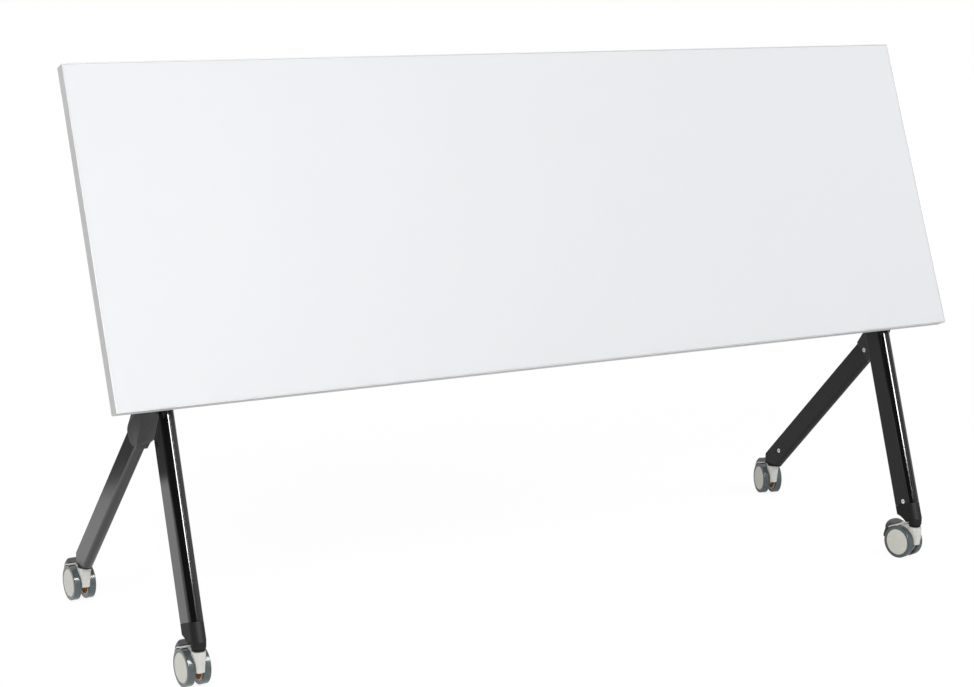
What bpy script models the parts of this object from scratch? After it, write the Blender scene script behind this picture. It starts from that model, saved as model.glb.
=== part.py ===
"""A flip-top table on castors, with its top tipped up as it stands when it is stored.

Two A-shaped leg frames are tied by a cross beam. Each main leg ends in a forked head, in which the cast
bracket of the top turns on a pin. A sprung bolt in each head enters one of two notches of the bracket, and
two levers on one rod draw both bolts. The bolts are drawn here, clear of the brackets, as they are while the
top is turned. Each foot has a twin-wheel castor with a brake pedal.

Metres, +Z up, origin on the floor under the middle of the table. X runs along the top.
"""

import math

import bmesh
import bpy
from mathutils import Matrix, Vector

# Clearances and cuts
SEAT_GAP = 0.0003
RUNNING_GAP = 0.0005
CUT_OVERRUN = 0.01
JOIN_DEPTH = 0.001
WELD_DISTANCE = 0.00001

# Top
TOP_LENGTH = 1.8
TOP_DEPTH = 0.6
TOP_THICKNESS = 0.025
TOP_HEIGHT = 0.740
TOP_TILT = math.radians(66.75)
BAND_THICKNESS = 0.002
BAND_CORNER_RADIUS = 0.0015

# Where the top turns
PIVOT_DROP = 0.072
PIVOT_FROM_EDGE = 0.242
PIVOT_PIN_RADIUS = 0.006

# Legs
LEG_INSET = 0.1116
REAR_OUTSET = 0.0217
MAIN_LEAN = math.radians(20.7)
REAR_LEAN = math.radians(42.7)
FRONT_STEM_Y = -0.274
WHEELBASE = 0.4976
MAIN_AXIS_SETBACK = 0.0087
REAR_AXIS_SETBACK = 0.0063

# Main leg section
MAIN_WIDTH = 0.027
MAIN_DEPTH = 0.053
MAIN_WALL = 0.0025
MAIN_NOSE_WALL = 0.0095
MAIN_CORNER_RADIUS = 0.003
GROOVE_WIDTH = 0.003
GROOVE_DEPTH = 0.002

# Rear leg section
REAR_WIDTH = 0.0195
REAR_DEPTH = 0.046
REAR_WALL = 0.0022
REAR_CORNER_RADIUS = 0.0015

# Front and rear feet
CASTOR_HEIGHT = 0.0723
FRONT_SEAM_HEIGHT = 0.112
SOCKET_BOSS_RADIUS = 0.0132
SOCKET_REAR_LENGTH = 0.017
SOCKET_SCOOP_LOW = 0.0049
SOCKET_SCOOP_SAG = 0.0022
SOCKET_BOTTOM_ROUND = 0.003
STEM_RADIUS = 0.005
STEM_SHANK = 0.030
SOCKET_BORE_SPARE = 0.003
PLUG_LENGTH = 0.030
REAR_CUT_SETBACK = 0.016
FOOT_PLATE_THICKNESS = 0.0034
REAR_PLUG_LENGTH = 0.055

# Leg head
HEAD_WIDTH = 0.034
HEAD_DISC_RADIUS = 0.032
HEAD_BOTTOM = 0.066
HEAD_SPIGOT = 0.059
HEAD_EDGE_ROUND = 0.0015
EAR_THICKNESS = 0.012
WINDOW_HEIGHT = 0.022

# Bracket under the top
BRACKET_WIDTH = 0.070
BRACKET_LENGTH = 0.180
BRACKET_THICKNESS = 0.004
BRACKET_CORNER_RADIUS = 0.010
QUADRANT_RADIUS = 0.030
EAR_FRONT = 0.026
EAR_REAR = 0.058
EAR_REAR_ANGLE = 330.0
RIB_THICKNESS = 0.004
RIB_REACH = 0.028
SCREW_HOLE_RADIUS = 0.0025
SCREW_INSET = 0.012

# Latch and release
BOLT_RADIUS = 0.004
BOLT_LENGTH = 0.050
BOLT_ENGAGEMENT = 0.005
BOLT_CLEARANCE = 0.0008
BOLT_NOTCH_HEIGHT = 0.009
NOTCH_SPARE = 0.0005
NOTCH_LIP_ANGLE = 1.0
TIP_CHAMFER_SHARE = 0.2
ROD_RADIUS = 0.004
ROD_BACK = 0.034
ROD_DROP = 0.050
LUG_RADIUS = 0.009
LEVER_THICKNESS = 0.012
LEVER_ARM = 0.006
LEVER_HUB_RADIUS = 0.007
PADDLE_REACH = 0.060
PADDLE_LENGTH = 0.046
PADDLE_WIDTH = 0.030
PADDLE_THICKNESS = 0.005
PADDLE_EDGE_ROUND = 0.0015
ROD_END = 0.004

# Pivot pin and its clip
PIN_HEAD_RADIUS = 0.009
PIN_HEAD_THICKNESS = 0.003
PIN_TAIL = 0.005
CLIP_GROOVE_DEPTH = 0.001
CLIP_THICKNESS = 0.0012
CLIP_RADIUS = 0.0085
CLIP_SETBACK = 0.0008
CLIP_MOUTH_HALF_ANGLE = 40.0

# Cross beam
BEAM_HEIGHT = 0.050
BEAM_DEPTH = 0.025
BEAM_WALL = 0.002
BEAM_CORNER_RADIUS = 0.004
BEAM_DROP = 0.110
FLANGE_HEIGHT = 0.080
FLANGE_DEPTH = 0.044
FLANGE_THICKNESS = 0.006
FLANGE_CORNER_RADIUS = 0.006

# Knuckle between main and rear leg, in distances along and across the rear leg
KNUCKLE_REACH = 0.084
KNUCKLE_PROUD = 0.002
KNUCKLE_OUTSTAND = 0.0026
KNUCKLE_RAKE = math.radians(8.1)
KNUCKLE_EDGE_ROUND = 0.004
KNUCKLE_TONGUE = 0.094
KNUCKLE_SWEEP_SHARES = (
    (0.09, 0.30),
    (-0.03, 0.155),
    (-0.205, 0.0),
    (-0.36, -0.115),
    (-0.47, -0.245),
    (-0.58, -0.345),
    (-0.72, -0.385),
    (-0.87, -0.355),
)

# Castor
WHEEL_RADIUS = 0.0331
WHEEL_WIDTH = 0.0138
WHEEL_SPREAD = 0.0143
TYRE_THICKNESS = 0.0061
TYRE_SHOULDER = 0.0011
CAP_BEVEL = 0.0032
CAP_STAND = 0.0006
HUB_BOTTOM_WALL = 0.003
TRAIL = 0.0265
AXLE_RADIUS = 0.004
COLLAR_RADIUS = 0.012
COLLAR_THICKNESS = 0.0015
NECK_RADIUS = 0.0125
NECK_FLARE_BOTTOM = 0.0122
NECK_FLARE_TOP = 0.0067
STEM_PIN_LENGTH = 0.030
HOUSING_WIDTH = 0.0138
HOOD_WIDTH = 0.042
HOOD_GAP = 0.0013
HOOD_THICKNESS = 0.0022
HOOD_FRONT_ANGLE = 115.0
HOOD_REAR_ANGLE = 48.0
HOOD_ROOT_ANGLE = 105.0
HOOD_WEB_ANGLE = 24.0
BODY_TOP_ANGLE = -20.0
BODY_FRONT_ANGLE = -130.0
BODY_DISC_RADIUS = 0.0135
WALL_FRONT_TOP = 0.0125
WALL_FRONT_FOOT = 0.0095
WALL_REAR_FOOT = 0.004
WALL_SHOULDER_DROP = 0.012
WALL_FOOT_HEIGHT = 0.020

# Brake pedal
PEDAL_PIVOT_RADIUS = 0.030
PEDAL_PIVOT_ANGLE = 37.0
PEDAL_PIN_RADIUS = 0.0017
PEDAL_HUB_RADIUS = 0.0042
PEDAL_WEB = 0.004
PEDAL_SLOT = 0.0046
PEDAL_SLOT_INNER = 0.0235
PEDAL_SLOT_ANGLE = 47.0
PEDAL_WEB_LOW_ANGLE = 12.0
PEDAL_WEB_HIGH_ANGLE = 43.0
PEDAL_WIDTH = 0.034
PEDAL_GAP = 0.0006
PEDAL_SHELL = 0.0038
PEDAL_FRONT_ANGLE = 78.0
PEDAL_TIP_ANGLE = 3.0
PEDAL_CREST = 0.0055
PEDAL_EDGE_ROUND = 0.002
PEDAL_MOUTH = 0.003

# Directions from each castor's stem to its axle, in degrees from +X towards +Y
CASTOR_HEADINGS = {
    "front_left": 91.0,
    "front_right": 100.0,
    "rear_left": 91.0,
    "rear_right": 74.0,
}

# How finely round shapes are divided, and the angles in degrees that tell edges from curves
FLAT_ANGLE = 0.5
SHADING_ANGLE = 30.0
CORNER_ANGLE = 40.0
WHEEL_STEPS = 24
PIN_STEPS = 12
SMALL_STEPS = 12
CORNER_STEPS = 3

# Places worked out from the sizes
PIVOT_HEIGHT = TOP_HEIGHT - PIVOT_DROP
PIVOT_Y = FRONT_STEM_Y + MAIN_AXIS_SETBACK + (PIVOT_HEIGHT - CASTOR_HEIGHT) * math.tan(MAIN_LEAN)
MAIN_X = TOP_LENGTH / 2 - LEG_INSET
REAR_X = MAIN_X + REAR_OUTSET
REAR_STEM_Y = FRONT_STEM_Y + WHEELBASE
REAR_AXIS_Y = REAR_STEM_Y + REAR_AXIS_SETBACK
UNDERSIDE = PIVOT_DROP - TOP_THICKNESS
SLOT_WIDTH = EAR_THICKNESS + 2 * RUNNING_GAP
LEAN_SPAN = PIVOT_HEIGHT - FRONT_SEAM_HEIGHT
SEAM_DISTANCE = LEAN_SPAN / math.cos(MAIN_LEAN)
ANGLE_BETWEEN_LEGS = MAIN_LEAN + REAR_LEAN
MEETING_HEIGHT = (
    REAR_AXIS_Y - PIVOT_Y + CASTOR_HEIGHT * math.tan(REAR_LEAN) + PIVOT_HEIGHT * math.tan(MAIN_LEAN)
) / (math.tan(MAIN_LEAN) + math.tan(REAR_LEAN))
MEETING_Y = PIVOT_Y - (PIVOT_HEIGHT - MEETING_HEIGHT) * math.tan(MAIN_LEAN)
LATCH_TRAVEL = BOLT_ENGAGEMENT + BOLT_CLEARANCE
RELEASE_ANGLE = LATCH_TRAVEL / ROD_BACK
HOUSING_TOP = CASTOR_HEIGHT - SEAT_GAP - COLLAR_THICKNESS - RUNNING_GAP

# Maps of an outline's own plane onto the planes that it is drawn in
SIDE_VIEW = Matrix(((0, 0, 1, 0), (1, 0, 0, 0), (0, 1, 0, 0), (0, 0, 0, 1)))
CASTOR_VIEW = Matrix(((1, 0, 0, 0), (0, 0, -1, 0), (0, 1, 0, 0), (0, 0, 0, 1)))
PLAN_VIEW = Matrix.Identity(4)


# Scene and materials


def clear_scene():
    """Remove every object that the scene holds."""
    for obj in list(bpy.data.objects):
        bpy.data.objects.remove(obj)


def new_collection(name):
    """Add an empty collection to the scene."""
    collection = bpy.data.collections.new(name)
    bpy.context.scene.collection.children.link(collection)
    return collection


def new_material(name, colour, roughness, metallic):
    """A Principled material of one plain colour."""
    material = bpy.data.materials.new(name)
    material.use_nodes = True
    shader = material.node_tree.nodes["Principled BSDF"]
    shader.inputs["Base Color"].default_value = (*colour, 1.0)
    shader.inputs["Roughness"].default_value = roughness
    shader.inputs["Metallic"].default_value = metallic
    material.diffuse_color = (*colour, 1.0)
    return material


def add_axis(name, location, rotation):
    """An empty that stands on a joint's axis or along a leg."""
    axis = bpy.data.objects.new(name, None)
    axis.empty_display_size = PIVOT_DROP
    axis.location = location
    axis.rotation_euler = rotation
    bpy.context.scene.collection.objects.link(axis)
    return axis


# Outlines


def polar(centre, radius, degrees):
    """The point at a radius and an angle round a centre."""
    angle = math.radians(degrees)
    return (centre[0] + radius * math.cos(angle), centre[1] + radius * math.sin(angle))


def arc(centre, radius, start, end, steps):
    """Points along an arc from the start angle to the end angle, both included."""
    return [polar(centre, radius, start + (end - start) * i / steps) for i in range(steps + 1)]


def circle(centre, radius, steps):
    """Points round a full circle."""
    return arc(centre, radius, 0, 360, steps)[:-1]


def rectangle(left, right, bottom, top):
    """The corners of a rectangle."""
    return [(left, bottom), (right, bottom), (right, top), (left, top)]


def rounded_rectangle(left, right, bottom, top, radius):
    """A rectangle with four round corners."""
    centres = (
        (right - radius, top - radius, 0),
        (left + radius, top - radius, 90),
        (left + radius, bottom + radius, 180),
        (right - radius, bottom + radius, 270),
    )
    points = []
    for x, y, start in centres:
        points += arc((x, y), radius, start, start + 90, CORNER_STEPS)
    return points


def smooth(points, steps):
    """A Catmull-Rom curve through the points, with its ends at the first and the last."""
    ends = [points[0]] + list(points) + [points[-1]]
    curve = []
    for before, start, end, after in zip(ends, ends[1:], ends[2:], ends[3:]):
        curve += [
            tuple(catmull_rom(i / steps, *values) for values in zip(before, start, end, after))
            for i in range(steps)
        ]
    return curve + [tuple(points[-1])]


def catmull_rom(t, before, start, end, after):
    """The value a share of the way from the start value to the end value of four in a row."""
    slope = end - before
    bend = 2 * before - 5 * start + 4 * end - after
    twist = 3 * start - 3 * end + after - before
    return start + (slope * t + bend * t**2 + twist * t**3) / 2


def turned(points, angle):
    """The points turned about the plane's origin."""
    cos, sin = math.cos(angle), math.sin(angle)
    return [(x * cos - y * sin, x * sin + y * cos) for x, y in points]


def moved(points, shift):
    """The points moved by a shift in their plane."""
    return [(x + shift[0], y + shift[1]) for x, y in points]


# Solids


def mesh_object(name, mesh):
    """A new object that holds the mesh, linked so that its modifiers can be evaluated."""
    obj = bpy.data.objects.new(name, mesh)
    bpy.context.scene.collection.objects.link(obj)
    return obj


def evaluated_mesh(obj):
    """The object's mesh as its modifiers leave it, with coincident points welded."""
    graph = bpy.context.evaluated_depsgraph_get()
    mesh = bpy.data.meshes.new_from_object(obj.evaluated_get(graph))
    body = bmesh.new()
    body.from_mesh(mesh)
    bmesh.ops.remove_doubles(body, verts=body.verts, dist=WELD_DISTANCE)
    bmesh.ops.recalc_face_normals(body, faces=body.faces)
    body.to_mesh(mesh)
    body.free()
    return mesh


def extruded(name, loops, thickness, view, shift=0.0):
    """A flat outline, its holes included, extruded half its thickness to each side of its plane."""
    curve = bpy.data.curves.new(name, "CURVE")
    curve.dimensions = "2D"
    curve.fill_mode = "BOTH"
    curve.extrude = thickness / 2
    for points in loops:
        spline = curve.splines.new("POLY")
        spline.points.add(len(points) - 1)
        for point, (x, y) in zip(spline.points, points):
            point.co = (x, y, 0, 1)
        spline.use_cyclic_u = True
    drawn = bpy.data.objects.new(name, curve)
    bpy.context.scene.collection.objects.link(drawn)
    mesh = evaluated_mesh(drawn)
    bpy.data.objects.remove(drawn)
    mesh.transform(view @ Matrix.Translation((0, 0, shift)))
    return mesh_object(name, mesh)


def lathed(name, profile, steps):
    """A profile of radius and height turned round the Z axis with a Screw modifier."""
    mesh = bpy.data.meshes.new(name)
    mesh.from_pydata(
        [(radius, 0, height) for radius, height in profile],
        [(i, i + 1) for i in range(len(profile) - 1)],
        [],
    )
    obj = mesh_object(name, mesh)
    screw = obj.modifiers.new("Turn", "SCREW")
    screw.steps = steps
    screw.render_steps = steps
    screw.use_merge_vertices = True
    screw.merge_threshold = WELD_DISTANCE
    obj.data = evaluated_mesh(obj)
    obj.modifiers.clear()
    return obj


def box(name, low, high):
    """A box between two corners."""
    body = bmesh.new()
    bmesh.ops.create_cube(body, size=1)
    size = [b - a for a, b in zip(low, high)]
    middle = [(a + b) / 2 for a, b in zip(low, high)]
    bmesh.ops.scale(body, vec=size, verts=body.verts)
    bmesh.ops.translate(body, vec=middle, verts=body.verts)
    mesh = bpy.data.meshes.new(name)
    body.to_mesh(mesh)
    body.free()
    return mesh_object(name, mesh)


def cylinder(name, radius, length, steps, middle, axis="Z"):
    """A round bar of the length given, centred on a point, along X or Z."""
    body = bmesh.new()
    bmesh.ops.create_cone(
        body, cap_ends=True, segments=steps, radius1=radius, radius2=radius, depth=length
    )
    if axis == "X":
        bmesh.ops.rotate(body, verts=body.verts, matrix=Matrix.Rotation(math.radians(90), 3, "Y"))
    bmesh.ops.translate(body, vec=middle, verts=body.verts)
    mesh = bpy.data.meshes.new(name)
    body.to_mesh(mesh)
    body.free()
    return mesh_object(name, mesh)


def combine(obj, tools, operation):
    """Join tools to the object, cut them from it or keep only what both hold, and remove the tools."""
    for tool in tools:
        step = obj.modifiers.new(tool.name, "BOOLEAN")
        step.operation = operation
        step.solver = "EXACT"
        step.object = tool
        tool.hide_render = True
        tool.display_type = "WIRE"
        obj.data = evaluated_mesh(obj)
        obj.modifiers.clear()
        bpy.data.objects.remove(tool)
    return obj


def join(obj, *tools):
    """Fuse the tools to the object."""
    return combine(obj, tools, "UNION")


def cut(obj, *tools):
    """Take the tools away from the object."""
    return combine(obj, tools, "DIFFERENCE")


def keep(obj, *tools):
    """Leave only what lies inside each tool."""
    return combine(obj, tools, "INTERSECT")


def round_edges(obj, width, steps, chosen):
    """Round the sharp edges whose two ends both pass the test."""
    body = bmesh.new()
    body.from_mesh(obj.data)
    bmesh.ops.dissolve_limit(
        body, angle_limit=math.radians(FLAT_ANGLE), verts=body.verts, edges=body.edges, delimit={"NORMAL"}
    )
    sharp = [edge for edge in body.edges if edge.calc_face_angle(0) > math.radians(CORNER_ANGLE)]
    edges = [edge for edge in sharp if all(chosen(vert.co) for vert in edge.verts)]
    bmesh.ops.bevel(
        body, geom=edges, offset=width, offset_type="OFFSET", segments=steps, profile=0.5, affect="EDGES"
    )
    bmesh.ops.remove_doubles(body, verts=body.verts, dist=WELD_DISTANCE)
    body.to_mesh(obj.data)
    body.free()
    return obj


# Placing pieces


class Assembly:
    """The collection of pieces and the materials that they take."""

    def __init__(self, name):
        self.pieces = new_collection(name)
        self.materials = {}

    def add_material(self, name, colour, roughness, metallic=0.0):
        """Hold a material under its name."""
        self.materials[name] = new_material(name, colour, roughness, metallic)

    def place(self, obj, name, material, parent, location=(0, 0, 0), rotation=(0, 0, 0)):
        """Name a piece, give it its material and hang it on the empty that carries it."""
        obj.name = name
        obj.data.name = name
        obj.data.materials.clear()
        obj.data.materials.append(self.materials[material])
        obj.data.shade_smooth()
        obj.data.set_sharp_from_angle(angle=math.radians(SHADING_ANGLE))
        obj.parent = parent
        obj.location = location
        obj.rotation_euler = rotation
        for collection in list(obj.users_collection):
            collection.objects.unlink(obj)
        self.pieces.objects.link(obj)
        return obj

    def place_copy(self, obj, name, material, parent, location=(0, 0, 0), rotation=(0, 0, 0)):
        """Place another object that shares the mesh."""
        copy = mesh_object(name, obj.data)
        return self.place(copy, name, material, parent, location, rotation)

    def place_pair(self, obj, name, material, parents):
        """Place the right-hand piece and its mirror image on the left."""
        other = obj.data.copy()
        other.transform(Matrix.Scale(-1, 4, (1, 0, 0)))
        other.flip_normals()
        left = mesh_object(name, other)
        self.place(obj, name + "_right", material, parents["right"])
        self.place(left, name + "_left", material, parents["left"])


# Leg sections, drawn with X across the table and Y towards its back


def main_section(groove):
    """The main leg's outer outline: a round nose at the front and small round corners at the back."""
    half = MAIN_WIDTH / 2
    nose = (0, half - MAIN_DEPTH / 2)
    back = MAIN_DEPTH / 2
    points = []
    if groove:
        lip = math.degrees(math.asin(GROOVE_WIDTH / 2 / half))
        floor = -back + GROOVE_DEPTH
        points += arc(nose, half, 180, 270 - lip, 2 * CORNER_STEPS)
        points += [(-GROOVE_WIDTH / 2, floor), (GROOVE_WIDTH / 2, floor)]
        points += arc(nose, half, 270 + lip, 360, 2 * CORNER_STEPS)
    else:
        points += arc(nose, half, 180, 360, 4 * CORNER_STEPS)
    radius = MAIN_CORNER_RADIUS
    points += arc((half - radius, back - radius), radius, 0, 90, CORNER_STEPS)
    points += arc((radius - half, back - radius), radius, 90, 180, CORNER_STEPS)
    return points


def main_hollow(inset):
    """The main leg's hollow, drawn in by an inset for what fits in it."""
    half = MAIN_WIDTH / 2 - MAIN_WALL - inset
    front = MAIN_NOSE_WALL - MAIN_DEPTH / 2 + inset
    back = MAIN_DEPTH / 2 - MAIN_WALL - inset
    return rounded_rectangle(-half, half, front, back, MAIN_CORNER_RADIUS)


def rear_section(inset):
    """The rear leg's outline, with a round underside, drawn in by an inset."""
    half = REAR_WIDTH / 2 - inset
    under = inset - REAR_DEPTH / 2
    top = REAR_DEPTH / 2 - inset
    radius = REAR_CORNER_RADIUS
    points = arc((0, under + half), half, 180, 360, 3 * CORNER_STEPS)
    points += arc((half - radius, top - radius), radius, 0, 90, CORNER_STEPS)
    points += arc((radius - half, top - radius), radius, 90, 180, CORNER_STEPS)
    return points


def along_leg(name, loops, low, high):
    """A section drawn out along its leg between two distances."""
    return extruded(name, loops, high - low, PLAN_VIEW, (low + high) / 2)


# The top and its brackets, drawn with Y from the front edge to the back and Z square to the surface


def top_edge(inset):
    """The top's outline seen from above, drawn in by an inset."""
    half = TOP_LENGTH / 2 - inset
    return (
        -half,
        half,
        inset - PIVOT_FROM_EDGE,
        TOP_DEPTH - PIVOT_FROM_EDGE - inset,
    )


def build_top(assembly, hinge):
    """The laminated board and the band round its edges."""
    left, right, front, back = top_edge(BAND_THICKNESS + SEAT_GAP)
    board = box("board", (left, front, UNDERSIDE), (right, back, PIVOT_DROP))
    assembly.place(board, "worktop", "laminate", hinge)
    rim = rounded_rectangle(*top_edge(0), BAND_CORNER_RADIUS)
    opening = rectangle(*top_edge(BAND_THICKNESS))
    band = extruded("band", [rim, opening], TOP_THICKNESS, PLAN_VIEW, UNDERSIDE + TOP_THICKNESS / 2)
    assembly.place(band, "edge_band", "band", hinge)


def notch(degrees):
    """The three sides of a bolt notch in the quadrant's rim, and the rim's angles beside it."""
    half = BOLT_RADIUS + SEAT_GAP
    floor = QUADRANT_RADIUS - BOLT_ENGAGEMENT - NOTCH_SPARE
    spread = math.degrees(math.asin(half / QUADRANT_RADIUS))
    rim = QUADRANT_RADIUS * math.cos(math.radians(spread))
    sides = [(rim, -half), (floor, -half), (floor, half), (rim, half)]
    return turned(sides, math.radians(degrees)), spread


def ear_outline():
    """The bracket's ear: a notched quadrant round the pivot and a broad root under the board."""
    flat_notch = 270 - math.degrees(MAIN_LEAN)
    tilted_notch = flat_notch - math.degrees(TOP_TILT)
    tilted_sides, spread = notch(tilted_notch)
    flat_sides, _ = notch(flat_notch)
    start = 180 - math.degrees(math.acos(EAR_FRONT / QUADRANT_RADIUS))
    root = UNDERSIDE - SEAT_GAP - BRACKET_THICKNESS / 2
    centre = (0, 0)
    points = [(-EAR_FRONT, root)]
    spread += NOTCH_LIP_ANGLE
    points += arc(centre, QUADRANT_RADIUS, start, tilted_notch - spread, CORNER_STEPS)
    points += tilted_sides
    points += arc(centre, QUADRANT_RADIUS, tilted_notch + spread, flat_notch - spread, 2 * CORNER_STEPS)
    points += flat_sides
    points += arc(centre, QUADRANT_RADIUS, flat_notch + spread, EAR_REAR_ANGLE, 2 * CORNER_STEPS)
    points += [(EAR_REAR, root)]
    return points


def build_brackets(assembly, hinge):
    """The cast bracket on each side: a screwed plate, a notched ear and cross ribs."""
    top = UNDERSIDE - SEAT_GAP
    low = top - BRACKET_THICKNESS
    half_width, half_length = BRACKET_WIDTH / 2, BRACKET_LENGTH / 2
    plate_rim = rounded_rectangle(-half_width, half_width, -half_length, half_length, BRACKET_CORNER_RADIUS)
    holes = [
        circle((x, y), SCREW_HOLE_RADIUS, SMALL_STEPS)
        for x in (SCREW_INSET - half_width, half_width - SCREW_INSET)
        for y in (SCREW_INSET - half_length, half_length - SCREW_INSET)
    ]
    bracket = extruded("plate", [plate_rim, *holes], BRACKET_THICKNESS, PLAN_VIEW, (low + top) / 2)
    bore = circle((0, 0), PIVOT_PIN_RADIUS + SEAT_GAP, PIN_STEPS)
    ear = extruded("ear", [ear_outline(), bore], EAR_THICKNESS, SIDE_VIEW)
    ribs = []
    rib_low = HEAD_DISC_RADIUS + BRACKET_THICKNESS
    for y in (0, EAR_REAR - 2 * RIB_THICKNESS):
        outline = [(-RIB_REACH, low + JOIN_DEPTH), (RIB_REACH, low + JOIN_DEPTH), (0, rib_low)]
        rib = extruded("rib", [outline], RIB_THICKNESS, CASTOR_VIEW, -y)
        ribs.append(rib)
    join(bracket, ear, *ribs)
    other = bracket.data.copy()
    assembly.place(bracket, "top_bracket_right", "cast", hinge, (MAIN_X, 0, 0))
    assembly.place(mesh_object("bracket", other), "top_bracket_left", "cast", hinge, (-MAIN_X, 0, 0))


# The leg heads and the latch, drawn with Y to the back, square to the leg, and Z up along the leg


def lever_pivot():
    """Where the release rod lies, behind and below the pivot."""
    return (ROD_BACK, -ROD_DROP)


def head_outline():
    """The head seen from the side: a disc round the pivot, a body as deep as the leg and the rod's lug."""
    half = MAIN_DEPTH / 2
    side = math.degrees(math.acos(half / HEAD_DISC_RADIUS))
    lug = lever_pivot()
    points = [(-half, -HEAD_BOTTOM)]
    points += arc((0, 0), HEAD_DISC_RADIUS, 180 + side, -side, 6 * CORNER_STEPS)
    points += arc(lug, LUG_RADIUS, 90, -90, 2 * CORNER_STEPS)
    points += [(half, -HEAD_BOTTOM)]
    return points


def slot_outline():
    """The fork's slot: round under the quadrant and open to the front, the back and the top."""
    radius = QUADRANT_RADIUS + 3 * RUNNING_GAP
    floor_angle = math.degrees(math.asin((EAR_FRONT + RUNNING_GAP + SEAT_GAP) / radius))
    reach = HEAD_DISC_RADIUS + CUT_OVERRUN
    floor = -radius * math.sin(math.radians(floor_angle))
    edge = floor - RUNNING_GAP
    points = [(-reach, edge)]
    points += arc((0, 0), radius, 180 + floor_angle, 360 - floor_angle, 2 * CORNER_STEPS)
    points += [(reach, edge), (reach, reach), (-reach, reach)]
    return points


def build_heads(assembly, legs):
    """The die-cast fork on top of each main leg."""
    head = extruded("head", [head_outline()], HEAD_WIDTH, SIDE_VIEW)
    round_edges(head, HEAD_EDGE_ROUND, 1, lambda point: point.z > JOIN_DEPTH - HEAD_BOTTOM)
    spigot_low = -HEAD_BOTTOM - HEAD_SPIGOT
    join(head, along_leg("spigot", [main_hollow(SEAT_GAP)], spigot_low, JOIN_DEPTH - HEAD_BOTTOM))
    window_top = WINDOW_HEIGHT / 2 - ROD_DROP
    window_low = window_top - WINDOW_HEIGHT
    reach = ROD_BACK + LUG_RADIUS + CUT_OVERRUN
    bolt_length = 2 * (HEAD_BOTTOM + HEAD_SPIGOT)
    wide = HEAD_WIDTH + 2 * CUT_OVERRUN
    cut(
        head,
        extruded("slot", [slot_outline()], SLOT_WIDTH, SIDE_VIEW),
        box("window", (-SLOT_WIDTH / 2, RUNNING_GAP, window_low), (SLOT_WIDTH / 2, reach, window_top)),
        cylinder("bore", BOLT_RADIUS + SEAT_GAP, bolt_length, PIN_STEPS, (0, 0, spigot_low)),
        cylinder("pivot", PIVOT_PIN_RADIUS + SEAT_GAP, wide, PIN_STEPS, (0, 0, 0), "X"),
        cylinder("rod", ROD_RADIUS + SEAT_GAP, wide, PIN_STEPS, (0, *lever_pivot()), "X"),
    )
    assembly.place_pair(head, "leg_head", "cast", legs)


def build_pins(assembly, legs):
    """The pivot pin, headed outside, and the spring clip in the groove at its inner end."""
    outer = HEAD_WIDTH / 2 + SEAT_GAP
    inner = -outer - PIN_TAIL
    groove_top = -outer - CLIP_SETBACK + SEAT_GAP
    groove_low = groove_top - CLIP_THICKNESS - 2 * SEAT_GAP
    neck = PIVOT_PIN_RADIUS - CLIP_GROOVE_DEPTH
    profile = [
        (0, outer + PIN_HEAD_THICKNESS),
        (PIN_HEAD_RADIUS - CLIP_GROOVE_DEPTH, outer + PIN_HEAD_THICKNESS),
        (PIN_HEAD_RADIUS, outer + PIN_HEAD_THICKNESS - CLIP_GROOVE_DEPTH),
        (PIN_HEAD_RADIUS, outer),
        (PIVOT_PIN_RADIUS, outer),
        (PIVOT_PIN_RADIUS, groove_top),
        (neck, groove_top),
        (neck, groove_low),
        (PIVOT_PIN_RADIUS, groove_low),
        (PIVOT_PIN_RADIUS, inner + CLIP_GROOVE_DEPTH),
        (neck, inner),
        (0, inner),
    ]
    pin = lathed("pin", profile, PIN_STEPS)
    pin.data.transform(Matrix.Rotation(math.radians(90), 4, "Y"))
    assembly.place_pair(pin, "pivot_pin", "steel", legs)
    mouth = CLIP_MOUTH_HALF_ANGLE
    ring = arc((0, 0), CLIP_RADIUS, mouth - 90, 270 - mouth, 4 * CORNER_STEPS)
    ring += arc((0, 0), neck + SEAT_GAP, 270 - mouth, mouth - 90, 4 * CORNER_STEPS)
    middle = (groove_top + groove_low) / 2
    clip = extruded("clip", [ring], CLIP_THICKNESS, SIDE_VIEW, middle)
    assembly.place_pair(clip, "pivot_clip", "steel", legs)


def build_bolts(assembly, legs):
    """The bolt in each head, drawn clear of the quadrant, with a flat cross slot for the lever's nose."""
    tip = -QUADRANT_RADIUS - BOLT_CLEARANCE
    slot_height = -ROD_DROP - LATCH_TRAVEL
    chamfer = TIP_CHAMFER_SHARE * BOLT_RADIUS
    profile = [
        (0, tip),
        (BOLT_RADIUS - chamfer, tip),
        (BOLT_RADIUS, tip - chamfer),
        (BOLT_RADIUS, tip - BOLT_LENGTH),
        (0, tip - BOLT_LENGTH),
    ]
    bolt = lathed("bolt", profile, PIN_STEPS)
    slot = box(
        "slot",
        (-CUT_OVERRUN, RUNNING_GAP, slot_height - BOLT_NOTCH_HEIGHT / 2),
        (CUT_OVERRUN, CUT_OVERRUN, slot_height + BOLT_NOTCH_HEIGHT / 2),
    )
    cut(bolt, slot)
    assembly.place_pair(bolt, "latch_bolt", "steel", legs)


def lever_outline():
    """The lever seen from the side, round its own hub: a nose to the front and a root for the paddle."""
    half = LEVER_ARM / 2
    nose = 4 * RUNNING_GAP - ROD_BACK + half
    side = math.degrees(math.asin(half / LEVER_HUB_RADIUS))
    points = arc((nose, 0), half, 90, 270, 2 * CORNER_STEPS)
    points += arc((0, 0), LEVER_HUB_RADIUS, 180 + side, 360 - side, 2 * CORNER_STEPS)
    root = PADDLE_REACH - PADDLE_LENGTH + CUT_OVERRUN
    points += [(root, -half), (root, half)]
    points += arc((0, 0), LEVER_HUB_RADIUS, side, 180 - side, 2 * CORNER_STEPS)
    return points


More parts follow.
